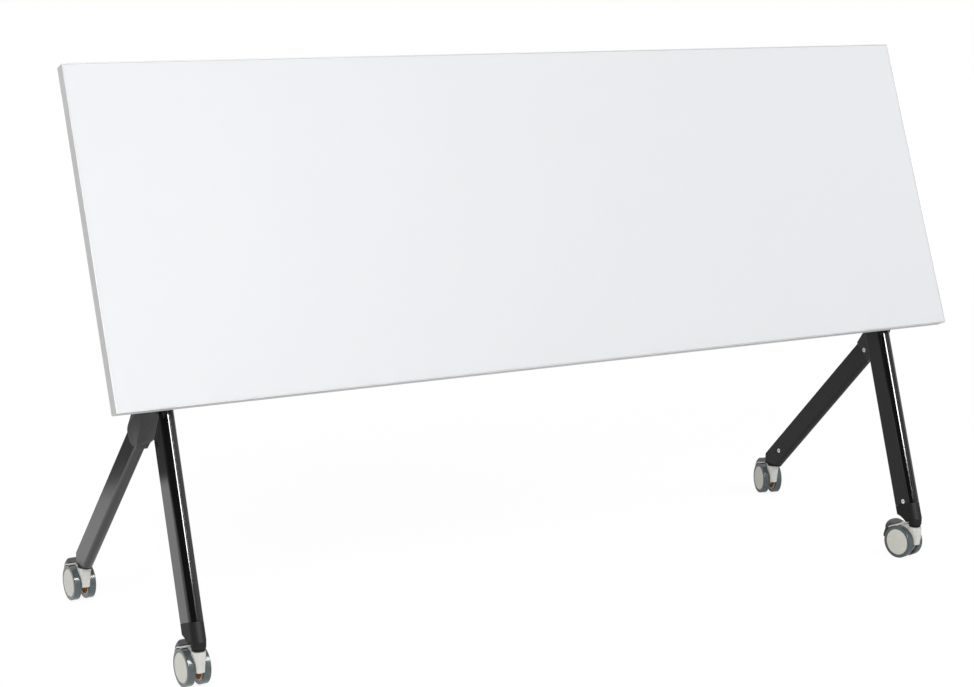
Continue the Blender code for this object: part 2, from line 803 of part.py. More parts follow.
def paddle_outline():
    """The finger paddle in plan, with a round free end."""
    half = PADDLE_WIDTH / 2
    radius = half - PADDLE_EDGE_ROUND
    start = PADDLE_REACH - PADDLE_LENGTH
    points = arc((radius - half, PADDLE_REACH - radius), radius, 180, 90, CORNER_STEPS)
    points += arc((half - radius, PADDLE_REACH - radius), radius, 90, 0, CORNER_STEPS)
    points += [(half, start), (-half, start)]
    return points


def build_release(assembly, rod_axis):
    """The release rod across the table and the lever on each of its ends."""
    lug_outer = MAIN_X + HEAD_WIDTH / 2
    rod = cylinder("rod", ROD_RADIUS, 2 * (lug_outer + ROD_END), PIN_STEPS, (0, 0, 0), "X")
    assembly.place(rod, "release_rod", "steel", rod_axis)
    bore = circle((0, 0), ROD_RADIUS + SEAT_GAP, PIN_STEPS)
    lever = extruded("lever", [lever_outline(), bore], LEVER_THICKNESS, SIDE_VIEW)
    paddle = extruded("paddle", [paddle_outline()], PADDLE_THICKNESS, PLAN_VIEW)
    root = PADDLE_REACH - PADDLE_LENGTH + JOIN_DEPTH
    round_edges(paddle, PADDLE_EDGE_ROUND, 1, lambda point: point.y > root)
    join(lever, paddle)
    drawn = (RELEASE_ANGLE, 0, 0)
    assembly.place(lever, "release_lever_right", "plastic", rod_axis, (MAIN_X, 0, 0), drawn)
    assembly.place_copy(lever, "release_lever_left", "plastic", rod_axis, (-MAIN_X, 0, 0), drawn)


# Main legs, their sockets and the cross beam


def build_main_legs(assembly, legs):
    """The grooved, round-nosed extrusion of each main leg, cut square at both ends."""
    loops = [main_section(True), main_hollow(0)]
    leg = along_leg("main", loops, SEAT_GAP - SEAM_DISTANCE, -HEAD_BOTTOM - SEAT_GAP)
    assembly.place_pair(leg, "main_leg", "black", legs)


def front_foot_frame():
    """The main leg's own frame, seen from the floor under the front stem."""
    setback = MAIN_AXIS_SETBACK - CASTOR_HEIGHT * math.tan(MAIN_LEAN)
    return Matrix.Translation((0, setback, 0)) @ Matrix.Rotation(-MAIN_LEAN, 4, "X")


def front_socket_side(seam):
    """What the front socket keeps of the leg's form: all above a blend line and a scooped heel."""
    frame = front_foot_frame()
    back = MAIN_DEPTH / 2
    heel = frame @ Vector((0, back, seam - SOCKET_REAR_LENGTH))
    toe_y = SOCKET_BOSS_RADIUS - JOIN_DEPTH
    toe = (toe_y, CASTOR_HEIGHT + SOCKET_SCOOP_LOW)
    middle = ((toe[0] + heel.y) / 2, (toe[1] + heel.z) / 2 + SOCKET_SCOOP_SAG)
    blend = socket_blend_height() - JOIN_DEPTH
    far = 2 * MAIN_DEPTH
    rise = (heel.z - middle[1]) / (heel.y - middle[0])
    scoop = smooth([toe, middle, (heel.y, heel.z)], 2 * CORNER_STEPS)
    points = [(-far, blend), (0, blend)]
    points += scoop
    high = 2 * FRONT_SEAM_HEIGHT
    return points + [(far, heel.z + rise * (far - heel.y)), (far, high), (-far, high)]


def socket_blend_height():
    """The height at which the leaning front of the leg reaches the front of the upright boss."""
    front = MAIN_AXIS_SETBACK - MAIN_DEPTH / 2 / math.cos(MAIN_LEAN)
    return CASTOR_HEIGHT - (SOCKET_BOSS_RADIUS + front) / math.tan(MAIN_LEAN)


def build_front_sockets(assembly, feet):
    """The moulded foot of each main leg: a plug, a body of the leg's form and an upright boss."""
    frame = front_foot_frame()
    seam = (FRONT_SEAM_HEIGHT - frame.translation.z) / math.cos(MAIN_LEAN)
    body = along_leg("body", [main_section(False)], seam - MAIN_DEPTH * 2, seam)
    plug = along_leg("plug", [main_hollow(SEAT_GAP)], seam - JOIN_DEPTH, seam + PLUG_LENGTH)
    body.data.transform(frame)
    plug.data.transform(frame)
    keep(body, extruded("side", [front_socket_side(seam)], 2 * MAIN_WIDTH, SIDE_VIEW))
    radius = SOCKET_BOSS_RADIUS
    bottom = CASTOR_HEIGHT
    turn = SOCKET_BOTTOM_ROUND
    corner = [
        (radius - turn + turn * math.cos(angle), bottom + turn - turn * math.sin(angle))
        for angle in (math.radians(90 * i / CORNER_STEPS) for i in range(CORNER_STEPS + 1))
    ]
    boss_top = socket_blend_height() - JOIN_DEPTH / 2
    boss = lathed("boss", [(0, boss_top), (radius, boss_top), *corner, (0, bottom)], WHEEL_STEPS)
    join(body, plug, boss)
    depth = STEM_SHANK + SOCKET_BORE_SPARE
    middle = (0, 0, CASTOR_HEIGHT + (depth - CUT_OVERRUN) / 2)
    cut(body, cylinder("bore", STEM_RADIUS + SEAT_GAP, depth + CUT_OVERRUN, PIN_STEPS, middle))
    assembly.place_pair(body, "front_socket", "socket", feet)


def build_beam(assembly, beam_axis):
    """The rounded tube between the main legs, with a flange welded to each end."""
    half_depth, half_height = BEAM_DEPTH / 2, BEAM_HEIGHT / 2
    rim = rounded_rectangle(-half_depth, half_depth, -half_height, half_height, BEAM_CORNER_RADIUS)
    wall = BEAM_WALL
    wide, high = half_depth - wall, half_height - wall
    hollow = rounded_rectangle(-wide, wide, -high, high, BEAM_CORNER_RADIUS - wall)
    face = MAIN_X - MAIN_WIDTH / 2 - SEAT_GAP
    beam = extruded("tube", [rim, hollow], 2 * (face - FLANGE_THICKNESS / 2), SIDE_VIEW)
    sill = wall + JOIN_DEPTH
    window = rectangle(sill - half_depth, half_depth - sill, sill - half_height, half_height - sill)
    half_depth, half_height = FLANGE_DEPTH / 2, FLANGE_HEIGHT / 2
    edge = rounded_rectangle(-half_depth, half_depth, -half_height, half_height, FLANGE_CORNER_RADIUS)
    for side in (-1, 1):
        middle = side * (face - FLANGE_THICKNESS / 2)
        join(beam, extruded("flange", [edge, window], FLANGE_THICKNESS, SIDE_VIEW, middle))
    assembly.place(beam, "cross_beam", "beam", beam_axis)


# Rear legs, their sockets and the knuckles


def rear_foot_frame():
    """The rear leg's own frame, seen from the floor under the rear stem."""
    setback = REAR_AXIS_SETBACK + CASTOR_HEIGHT * math.tan(REAR_LEAN)
    return Matrix.Translation((0, setback, 0)) @ Matrix.Rotation(REAR_LEAN, 4, "X")


def rear_foot_region(bottom, back):
    """A box that keeps what lies above a height and in front of a distance behind the rear stem."""
    reach = 2 * WHEELBASE
    return box("region", (-REAR_WIDTH, -reach, bottom), (REAR_WIDTH, back, reach))


def rear_length():
    """The distance along the rear leg from the floor to where the axes of both legs meet."""
    return MEETING_HEIGHT / math.cos(REAR_LEAN)


def build_rear_legs(assembly, feet):
    """The slim extrusion of each rear leg, square at the knuckle, upright and level at the foot."""
    top = rear_length() - KNUCKLE_REACH - SEAT_GAP
    leg = along_leg("rear", [rear_section(0), rear_section(REAR_WALL)], 0, top)
    leg.data.transform(rear_foot_frame())
    keep(leg, rear_foot_region(CASTOR_HEIGHT + FOOT_PLATE_THICKNESS + SEAT_GAP, REAR_CUT_SETBACK))
    assembly.place_pair(leg, "rear_leg", "black", feet)


def build_rear_sockets(assembly, feet):
    """The plug in each rear leg's foot, with the plate that closes the leg below."""
    frame = rear_foot_frame()
    start = CASTOR_HEIGHT / math.cos(REAR_LEAN)
    plug = along_leg("plug", [rear_section(REAR_WALL + SEAT_GAP)], 0, start + REAR_PLUG_LENGTH)
    plug.data.transform(frame)
    keep(plug, rear_foot_region(CASTOR_HEIGHT + FOOT_PLATE_THICKNESS - JOIN_DEPTH, REAR_CUT_SETBACK))
    footprint = along_leg("footprint", [rear_section(0)], 0, start + REAR_PLUG_LENGTH)
    footprint.data.transform(frame)
    keep(footprint, rear_foot_region(CASTOR_HEIGHT, REAR_CUT_SETBACK))
    low, high = CASTOR_HEIGHT, CASTOR_HEIGHT + FOOT_PLATE_THICKNESS
    reach = 2 * WHEELBASE
    cut(footprint, box("above", (-REAR_WIDTH, -reach, high), (REAR_WIDTH, reach, reach)))
    join(plug, footprint)
    depth = STEM_SHANK + SOCKET_BORE_SPARE
    middle = (0, 0, low + (depth - CUT_OVERRUN) / 2)
    cut(plug, cylinder("bore", STEM_RADIUS + SEAT_GAP, depth + CUT_OVERRUN, PIN_STEPS, middle))
    assembly.place_pair(plug, "rear_socket", "socket", feet)


def knuckle_outline():
    """The knuckle from the side, along and across the rear leg, from where the legs' axes meet."""
    edge = REAR_DEPTH / 2 + KNUCKLE_PROUD
    cos, sin = math.cos(KNUCKLE_RAKE), math.sin(KNUCKLE_RAKE)
    corner = (-KNUCKLE_REACH, edge)
    tongue = (corner[0] + KNUCKLE_TONGUE * cos, corner[1] + KNUCKLE_TONGUE * sin)
    sweep = [(x * KNUCKLE_REACH, y * KNUCKLE_REACH) for x, y in KNUCKLE_SWEEP_SHARES]
    heel = (-KNUCKLE_REACH, -edge)
    return [corner, *smooth([tongue, *sweep, heel], 2)]


def build_knuckles(assembly, knees):
    """The die-cast knuckle: a tongue on the main leg, a stepped cap on the rear leg and a plug in it."""
    drawn = [(y, x) for x, y in knuckle_outline()]
    inner = -REAR_WIDTH / 2
    outer = REAR_WIDTH / 2 + KNUCKLE_OUTSTAND
    casting = extruded("casting", [drawn], outer - inner, SIDE_VIEW, (outer + inner) / 2)
    round_edges(
        casting,
        KNUCKLE_EDGE_ROUND,
        CORNER_STEPS,
        lambda point: point.x > 0 and point.z > JOIN_DEPTH - KNUCKLE_REACH,
    )
    plug = along_leg(
        "plug",
        [rear_section(REAR_WALL + SEAT_GAP)],
        -KNUCKLE_REACH - PLUG_LENGTH,
        JOIN_DEPTH - KNUCKLE_REACH,
    )
    join(casting, plug)
    side = MAIN_WIDTH / 2 + SEAT_GAP - REAR_OUTSET
    back = MAIN_DEPTH / 2 + SEAT_GAP
    reach = 2 * KNUCKLE_REACH
    saddle = box("saddle", (-reach, -reach, -reach), (side, back, reach))
    saddle.data.transform(Matrix.Rotation(-ANGLE_BETWEEN_LEGS, 4, "X"))
    cut(casting, saddle)
    assembly.place_pair(casting, "knuckle", "cast", knees)


# Castors, drawn with X from the stem to the axle, Y along the axle and Z up


def axle_centre():
    """The axle's place in the castor's side view."""
    return (TRAIL, WHEEL_RADIUS)


def pedal_pivot():
    """The brake pedal's pin in the castor's side view."""
    return polar(axle_centre(), PEDAL_PIVOT_RADIUS, PEDAL_PIVOT_ANGLE)


def build_stem():
    """The stem: a shank in the socket, a collar under it and a pin in the housing."""
    top = CASTOR_HEIGHT + STEM_SHANK
    collar_top = CASTOR_HEIGHT - SEAT_GAP
    collar_low = collar_top - COLLAR_THICKNESS
    chamfer = TIP_CHAMFER_SHARE * STEM_RADIUS
    low = collar_low - STEM_PIN_LENGTH
    profile = [
        (0, top),
        (STEM_RADIUS - chamfer, top),
        (STEM_RADIUS, top - chamfer),
        (STEM_RADIUS, collar_top),
        (COLLAR_RADIUS, collar_top),
        (COLLAR_RADIUS, collar_low),
        (STEM_RADIUS, collar_low),
        (STEM_RADIUS, low + chamfer),
        (STEM_RADIUS - chamfer, low),
        (0, low),
    ]
    return lathed("stem", profile, PIN_STEPS)


def housing_side():
    """The housing's middle wall from the side: a front wall, a disc round the axle and a web to the hood."""
    centre = axle_centre()
    hood_middle = WHEEL_RADIUS + HOOD_GAP + HOOD_THICKNESS / 2
    points = [(-WALL_FRONT_TOP, HOUSING_TOP), (WALL_FRONT_TOP, HOUSING_TOP)]
    points += arc(centre, hood_middle, HOOD_ROOT_ANGLE, HOOD_WEB_ANGLE, 4 * CORNER_STEPS)
    points += arc(centre, BODY_DISC_RADIUS, BODY_TOP_ANGLE, BODY_FRONT_ANGLE, 4 * CORNER_STEPS)
    points += [
        (-WALL_REAR_FOOT, WALL_FOOT_HEIGHT),
        (-WALL_FRONT_FOOT, WALL_FOOT_HEIGHT),
        (-WALL_FRONT_TOP, HOUSING_TOP - WALL_SHOULDER_DROP),
    ]
    return points


def build_housing():
    """The castor's housing: middle wall, neck round the stem, hood over the wheels and the pedal's fork."""
    centre = axle_centre()
    housing = extruded("wall", [housing_side()], HOUSING_WIDTH, CASTOR_VIEW)
    hood_low = WHEEL_RADIUS + HOOD_GAP
    hood = arc(centre, hood_low + HOOD_THICKNESS, HOOD_REAR_ANGLE, HOOD_FRONT_ANGLE, 3 * CORNER_STEPS)
    hood += arc(centre, hood_low, HOOD_FRONT_ANGLE, HOOD_REAR_ANGLE, 3 * CORNER_STEPS)
    neck_profile = [
        (0, HOUSING_TOP),
        (NECK_RADIUS, HOUSING_TOP),
        (NECK_RADIUS, HOUSING_TOP - NECK_FLARE_TOP),
        (HOUSING_WIDTH / 2 - SEAT_GAP, HOUSING_TOP - NECK_FLARE_BOTTOM),
        (0, HOUSING_TOP - NECK_FLARE_BOTTOM),
    ]
    join(
        housing,
        extruded("hood", [hood], HOOD_WIDTH, CASTOR_VIEW),
        lathed("neck", neck_profile, WHEEL_STEPS),
    )
    rim = WHEEL_RADIUS + CUT_OVERRUN
    sector = arc(centre, PEDAL_SLOT_INNER, -PEDAL_TIP_ANGLE, PEDAL_SLOT_ANGLE, 2 * CORNER_STEPS)
    sector += arc(centre, rim, PEDAL_SLOT_ANGLE, -PEDAL_TIP_ANGLE, 2 * CORNER_STEPS)
    stem_pin = STEM_PIN_LENGTH + COLLAR_THICKNESS
    bore_low = HOUSING_TOP - stem_pin
    bore_top = HOUSING_TOP + CUT_OVERRUN
    cut(
        housing,
        cylinder(
            "bore",
            STEM_RADIUS + RUNNING_GAP,
            bore_top - bore_low,
            PIN_STEPS,
            (0, 0, (bore_top + bore_low) / 2),
        ),
        extruded("axle", [circle(centre, AXLE_RADIUS + SEAT_GAP, PIN_STEPS)], 2 * HOUSING_WIDTH, CASTOR_VIEW),
        extruded("slot", [sector], PEDAL_SLOT, CASTOR_VIEW),
    )
    pin = circle(pedal_pivot(), PEDAL_PIN_RADIUS, SMALL_STEPS)
    join(housing, extruded("pin", [pin], PEDAL_SLOT + 2 * JOIN_DEPTH, CASTOR_VIEW))
    return housing


def build_axle():
    """The axle through the housing, blunt at both ends."""
    reach = WHEEL_SPREAD + WHEEL_WIDTH / 2 - HUB_BOTTOM_WALL - SEAT_GAP
    axle = cylinder("axle", AXLE_RADIUS, 2 * reach, PIN_STEPS, (0, 0, 0))
    axle.data.transform(Matrix.Rotation(math.radians(90), 4, "X"))
    return axle


def build_core():
    """A wheel's core with its flat cap, bevelled rim and blind bore. Its outer side faces +Z."""
    rim = WHEEL_RADIUS - TYRE_THICKNESS - SEAT_GAP
    face = WHEEL_WIDTH / 2 + CAP_STAND
    back = -WHEEL_WIDTH / 2
    bore = AXLE_RADIUS + RUNNING_GAP
    bore_end = WHEEL_WIDTH / 2 - HUB_BOTTOM_WALL
    profile = [
        (0, face),
        (rim - CAP_BEVEL, face),
        (rim, WHEEL_WIDTH / 2 - CAP_STAND),
        (rim, back),
        (bore, back),
        (bore, bore_end),
        (0, bore_end),
    ]
    return lathed("core", profile, WHEEL_STEPS)


def build_tyre():
    """A tyre with square, slightly broken shoulders."""
    inner = WHEEL_RADIUS - TYRE_THICKNESS
    half = WHEEL_WIDTH / 2
    shoulder = TYRE_SHOULDER
    profile = [
        (inner, half),
        (WHEEL_RADIUS - shoulder, half),
        (WHEEL_RADIUS, half - shoulder),
        (WHEEL_RADIUS, shoulder - half),
        (WHEEL_RADIUS - shoulder, -half),
        (inner, -half),
        (inner, half),
    ]
    return lathed("tyre", profile, WHEEL_STEPS)


def pedal_outline():
    """The pedal's domed shell from the side, from its front edge over the crest to its rear tip."""
    centre = axle_centre()
    inner = WHEEL_RADIUS + HOOD_GAP + HOOD_THICKNESS + PEDAL_GAP
    outer = inner + PEDAL_SHELL
    points = arc(centre, inner, PEDAL_TIP_ANGLE, PEDAL_FRONT_ANGLE, 4 * CORNER_STEPS)
    span = PEDAL_FRONT_ANGLE - PEDAL_TIP_ANGLE
    for step in range(4 * CORNER_STEPS):
        share = step / (4 * CORNER_STEPS)
        swell = PEDAL_CREST * math.sin(math.pi * min(1, 2 * share)) if share < 0.5 else 0
        thin = PEDAL_SHELL / 2 * max(0, 2 * share - 1)
        front = PEDAL_SHELL / 2 * max(0, 1 - 4 * share)
        points.append(polar(centre, outer + swell - thin - front, PEDAL_FRONT_ANGLE - span * share))
    return points


def build_pedal():
    """The brake pedal: a domed shell, a web between the wheels and a snap-on hub."""
    centre = axle_centre()
    pivot = pedal_pivot()
    pedal = extruded("shell", [pedal_outline()], PEDAL_WIDTH, CASTOR_VIEW)
    round_edges(pedal, PEDAL_EDGE_ROUND, 1, lambda point: on_pedal_back(point, centre))
    web_rim = WHEEL_RADIUS + HOOD_GAP + HOOD_THICKNESS + PEDAL_GAP + JOIN_DEPTH
    web = arc(pivot, PEDAL_HUB_RADIUS, PEDAL_PIVOT_ANGLE + 90, PEDAL_PIVOT_ANGLE + 270, 2 * CORNER_STEPS)
    web += arc(centre, web_rim, PEDAL_WEB_LOW_ANGLE, PEDAL_WEB_HIGH_ANGLE, 2 * CORNER_STEPS)
    hub_bore = circle(pivot, PEDAL_PIN_RADIUS + SEAT_GAP, SMALL_STEPS)
    join(pedal, extruded("web", [web, hub_bore], PEDAL_WEB, CASTOR_VIEW))
    mouth = rectangle(-PEDAL_HUB_RADIUS - CUT_OVERRUN / 2, 0, -PEDAL_MOUTH / 2, PEDAL_MOUTH / 2)
    mouth = moved(turned(mouth, math.radians(PEDAL_PIVOT_ANGLE)), pivot)
    cut(pedal, extruded("mouth", [mouth], 2 * PEDAL_WEB, CASTOR_VIEW))
    pedal.data.transform(Matrix.Translation((-pivot[0], 0, -pivot[1])))
    return pedal


def on_pedal_back(point, centre):
    """Whether a point of the pedal's shell lies on its outer surface."""
    inner = WHEEL_RADIUS + HOOD_GAP + HOOD_THICKNESS + PEDAL_GAP
    return math.hypot(point.x - centre[0], point.z - centre[1]) > inner + PEDAL_SHELL / 4


def build_castors(assembly, feet):
    """A castor on each foot: each piece is made once and its mesh shared by the four."""
    stem, housing, axle = build_stem(), build_housing(), build_axle()
    core, tyre, pedal = build_core(), build_tyre(), build_pedal()
    masters = [stem, housing, axle, core, tyre, pedal]
    hub = (TRAIL, 0, WHEEL_RADIUS)
    pivot = pedal_pivot()
    for corner, heading in CASTOR_HEADINGS.items():
        swivel = add_axis("swivel_" + corner, feet[corner], (0, 0, math.radians(heading)))
        name = "castor_{}_" + corner
        assembly.place_copy(stem, name.format("stem"), "steel", swivel)
        assembly.place_copy(housing, name.format("housing"), "cream", swivel)
        assembly.place_copy(axle, name.format("axle"), "steel", swivel, hub)
        pedal_place = (pivot[0], 0, pivot[1])
        assembly.place_copy(pedal, "brake_pedal_" + corner, "pedal", swivel, pedal_place)
        for letter, side in (("a", 1), ("b", -1)):
            place = (TRAIL, side * WHEEL_SPREAD, WHEEL_RADIUS)
            turn = (math.radians(-90 * side), 0, 0)
            wheel = f"{corner}_{letter}"
            assembly.place_copy(core, "wheel_core_" + wheel, "cap", swivel, place, turn)
            assembly.place_copy(tyre, "tyre_" + wheel, "tyre", swivel, place, turn)
    for master in masters:
        bpy.data.objects.remove(master)


# The whole table


def add_materials(assembly):
    """Colours in linear light, from the photograph."""
    assembly.add_material("laminate", (0.87, 0.87, 0.87), 0.45)
    assembly.add_material("band", (0.62, 0.63, 0.62), 0.5)
    assembly.add_material("black", (0.022, 0.022, 0.023), 0.35)
    assembly.add_material("beam", (0.03, 0.03, 0.031), 0.4)
    assembly.add_material("cast", (0.045, 0.045, 0.047), 0.5)
    assembly.add_material("socket", (0.032, 0.032, 0.034), 0.55)
    assembly.add_material("plastic", (0.03, 0.03, 0.03), 0.5)
    assembly.add_material("steel", (0.55, 0.55, 0.56), 0.3, 1.0)
    assembly.add_material("cream", (0.62, 0.6, 0.55), 0.45)
    assembly.add_material("cap", (0.58, 0.57, 0.5), 0.4)
    assembly.add_material("tyre", (0.12, 0.145, 0.16), 0.5)
    assembly.add_material("pedal", (0.06, 0.06, 0.063), 0.5)


def sides(name, x, y, z, lean):
    """A pair of empties, one on each side of the table."""
    return {
        "right": add_axis(name + "_right", (x, y, z), (lean, 0, 0)),
        "left": add_axis(name + "_left", (-x, y, z), (lean, 0, 0)),
    }


def on_main_leg(back, up):
    """The place of a point given square to and along the main leg from the pivot."""
    cos, sin = math.cos(MAIN_LEAN), math.sin(MAIN_LEAN)
    return (0, PIVOT_Y + back * cos + up * sin, PIVOT_HEIGHT - back * sin + up * cos)


def main():
    """Build the table."""
    clear_scene()
    assembly = Assembly("flip_top_table")
    add_materials(assembly)
    top_hinge = add_axis("top_hinge", (0, PIVOT_Y, PIVOT_HEIGHT), (TOP_TILT, 0, 0))
    legs = sides("main_leg_axis", MAIN_X, PIVOT_Y, PIVOT_HEIGHT, -MAIN_LEAN)
    front_feet = sides("front_foot", MAIN_X, FRONT_STEM_Y, 0, 0)
    rear_feet = sides("rear_foot", REAR_X, REAR_STEM_Y, 0, 0)
    knees = sides("knee", REAR_X, MEETING_Y, MEETING_HEIGHT, REAR_LEAN)
    rod_axis = add_axis("rod_axis", on_main_leg(ROD_BACK, -ROD_DROP), (-MAIN_LEAN, 0, 0))
    beam_axis = add_axis("beam_axis", on_main_leg(0, -BEAM_DROP), (-MAIN_LEAN, 0, 0))
    build_top(assembly, top_hinge)
    build_brackets(assembly, top_hinge)
    build_heads(assembly, legs)
    build_pins(assembly, legs)
    build_bolts(assembly, legs)
    build_release(assembly, rod_axis)
    build_main_legs(assembly, legs)
    build_front_sockets(assembly, front_feet)
    build_beam(assembly, beam_axis)
    build_rear_legs(assembly, rear_feet)
    build_rear_sockets(assembly, rear_feet)
    build_knuckles(assembly, knees)
    feet = {
        "front_left": (-MAIN_X, FRONT_STEM_Y, 0),
        "front_right": (MAIN_X, FRONT_STEM_Y, 0),
        "rear_left": (-REAR_X, REAR_STEM_Y, 0),
        "rear_right": (REAR_X, REAR_STEM_Y, 0),
    }
    build_castors(assembly, feet)


if __name__ == "__main__":
    main()
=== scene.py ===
"""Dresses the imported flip-top table for its photograph: fine pieces, finishes, studio and camera.

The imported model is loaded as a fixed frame. Each sub-assembly is a class that models its pieces in the
place of the frame's plain ones, in metres, and gives them their finishes.
"""

import logging
import math
from dataclasses import dataclass
from enum import Enum
from typing import Any, Callable, Iterable, Sequence, Union

import bmesh
import bpy
from mathutils import Matrix, Vector


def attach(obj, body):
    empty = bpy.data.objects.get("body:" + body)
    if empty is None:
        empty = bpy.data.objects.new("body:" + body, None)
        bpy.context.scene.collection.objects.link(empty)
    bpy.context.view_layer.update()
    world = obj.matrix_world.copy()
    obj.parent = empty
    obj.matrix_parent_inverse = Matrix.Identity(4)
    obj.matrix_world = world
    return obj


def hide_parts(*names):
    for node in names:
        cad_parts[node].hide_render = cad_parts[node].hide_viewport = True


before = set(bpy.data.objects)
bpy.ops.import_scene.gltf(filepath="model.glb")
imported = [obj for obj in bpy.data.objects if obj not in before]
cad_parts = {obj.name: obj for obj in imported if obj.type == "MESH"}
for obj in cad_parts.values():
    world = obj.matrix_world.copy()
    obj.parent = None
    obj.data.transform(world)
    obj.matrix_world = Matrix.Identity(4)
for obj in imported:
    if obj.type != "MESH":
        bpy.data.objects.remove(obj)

LOG = logging.getLogger("scene")
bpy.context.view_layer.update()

Colour = tuple[float, float, float]
Flat = tuple[float, float]
Point = tuple[float, float, float]
Object = bpy.types.Object

# Where the frame's parts stand, in metres and radians
PIVOT = Vector((0, -0.040204, 0.668))
TOP_TILT = math.radians(66.75)
MAIN_LEAN = math.radians(20.7)
REAR_LEAN = math.radians(42.7)
MAIN_X = 0.7884
REAR_OUTSET = 0.0217
REAR_X = MAIN_X + REAR_OUTSET
CASTOR_HEIGHT = 0.0723
FRONT_STEM_Y = -0.274
REAR_STEM_Y = 0.2236
MEETING = Vector((0, -0.121431, 0.453037))
SEAT_GAP = 0.0003
FRONT_SETBACK = 0.0087
REAR_SETBACK = 0.0063
SIDES = {"right": 1, "left": -1}
# The screws on the legs' inner sides, to the back and up
SCREW_SPOTS = {"front_foot": (-0.248, 0.1173), "rear_foot": (0.194, 0.1118), "knuckle": (-0.0691, 0.3969)}

# What counts as level, and as in a plane
LEVEL = 1e-6
NEAR = 1e-5


class Kind(Enum):
    """What a selection in edit mode is made of."""

    VERT = "VERT"
    EDGE = "EDGE"
    FACE = "FACE"


class Plane(Enum):
    """The plane that an outline is drawn in, as the three axes that it maps to."""

    SIDE = ((0, 1, 0), (0, 0, 1), (1, 0, 0))
    CASTOR = ((1, 0, 0), (0, 0, 1), (0, 1, 0))
    PLAN = ((1, 0, 0), (0, 1, 0), (0, 0, 1))

    def place(self, point: Flat, off: float = 0.0) -> Vector:
        """Put a point of the outline into space.

        Args:
            point: the point in the outline's own plane.
            off: its distance from the plane.

        Returns:
            The point in the piece's own space.
        """
        across, along, out = (Vector(axis) for axis in self.value)
        return point[0] * across + point[1] * along + off * out


# Shader maths


class Signal:
    """A number that varies over a surface, with arithmetic that adds Math nodes."""

    def __init__(self, graph: "Graph", socket: bpy.types.NodeSocket) -> None:
        """Hold a socket of a material's node graph."""
        self.graph = graph
        self.socket = socket

    def maths(self, operation: str, *others: Union[float, "Signal"], first: bool = True) -> "Signal":
        """Join this signal to others with a Math node.

        Args:
            operation: the Math node's operation.
            others: the other numbers or signals.
            first: whether this signal comes before the others.

        Returns:
            The node's result.
        """
        terms = [self, *others] if first else [*others, self]
        made = self.graph.node("ShaderNodeMath", {"operation": operation}, dict(enumerate(terms)))
        return Signal(self.graph, made.outputs[0])

    def __add__(self, other: Union[float, "Signal"]) -> "Signal":
        """Add."""
        return self.maths("ADD", other)

    __radd__ = __add__

    def __mul__(self, other: Union[float, "Signal"]) -> "Signal":
        """Multiply."""
        return self.maths("MULTIPLY", other)

    def __sub__(self, other: Union[float, "Signal"]) -> "Signal":
        """Subtract the other."""
        return self.maths("SUBTRACT", other)

    def __rsub__(self, other: Union[float, "Signal"]) -> "Signal":
        """Subtract this from the other."""
        return self.maths("SUBTRACT", other, first=False)

    def step(self, low: float, high: float) -> "Signal":
        """A smooth step from 0 at the low value to 1 at the high one."""
        settings = {"interpolation_type": "SMOOTHSTEP"}
        made = self.graph.node("ShaderNodeMapRange", settings, {0: self, 1: low, 2: high})
        return Signal(self.graph, made.outputs[0])


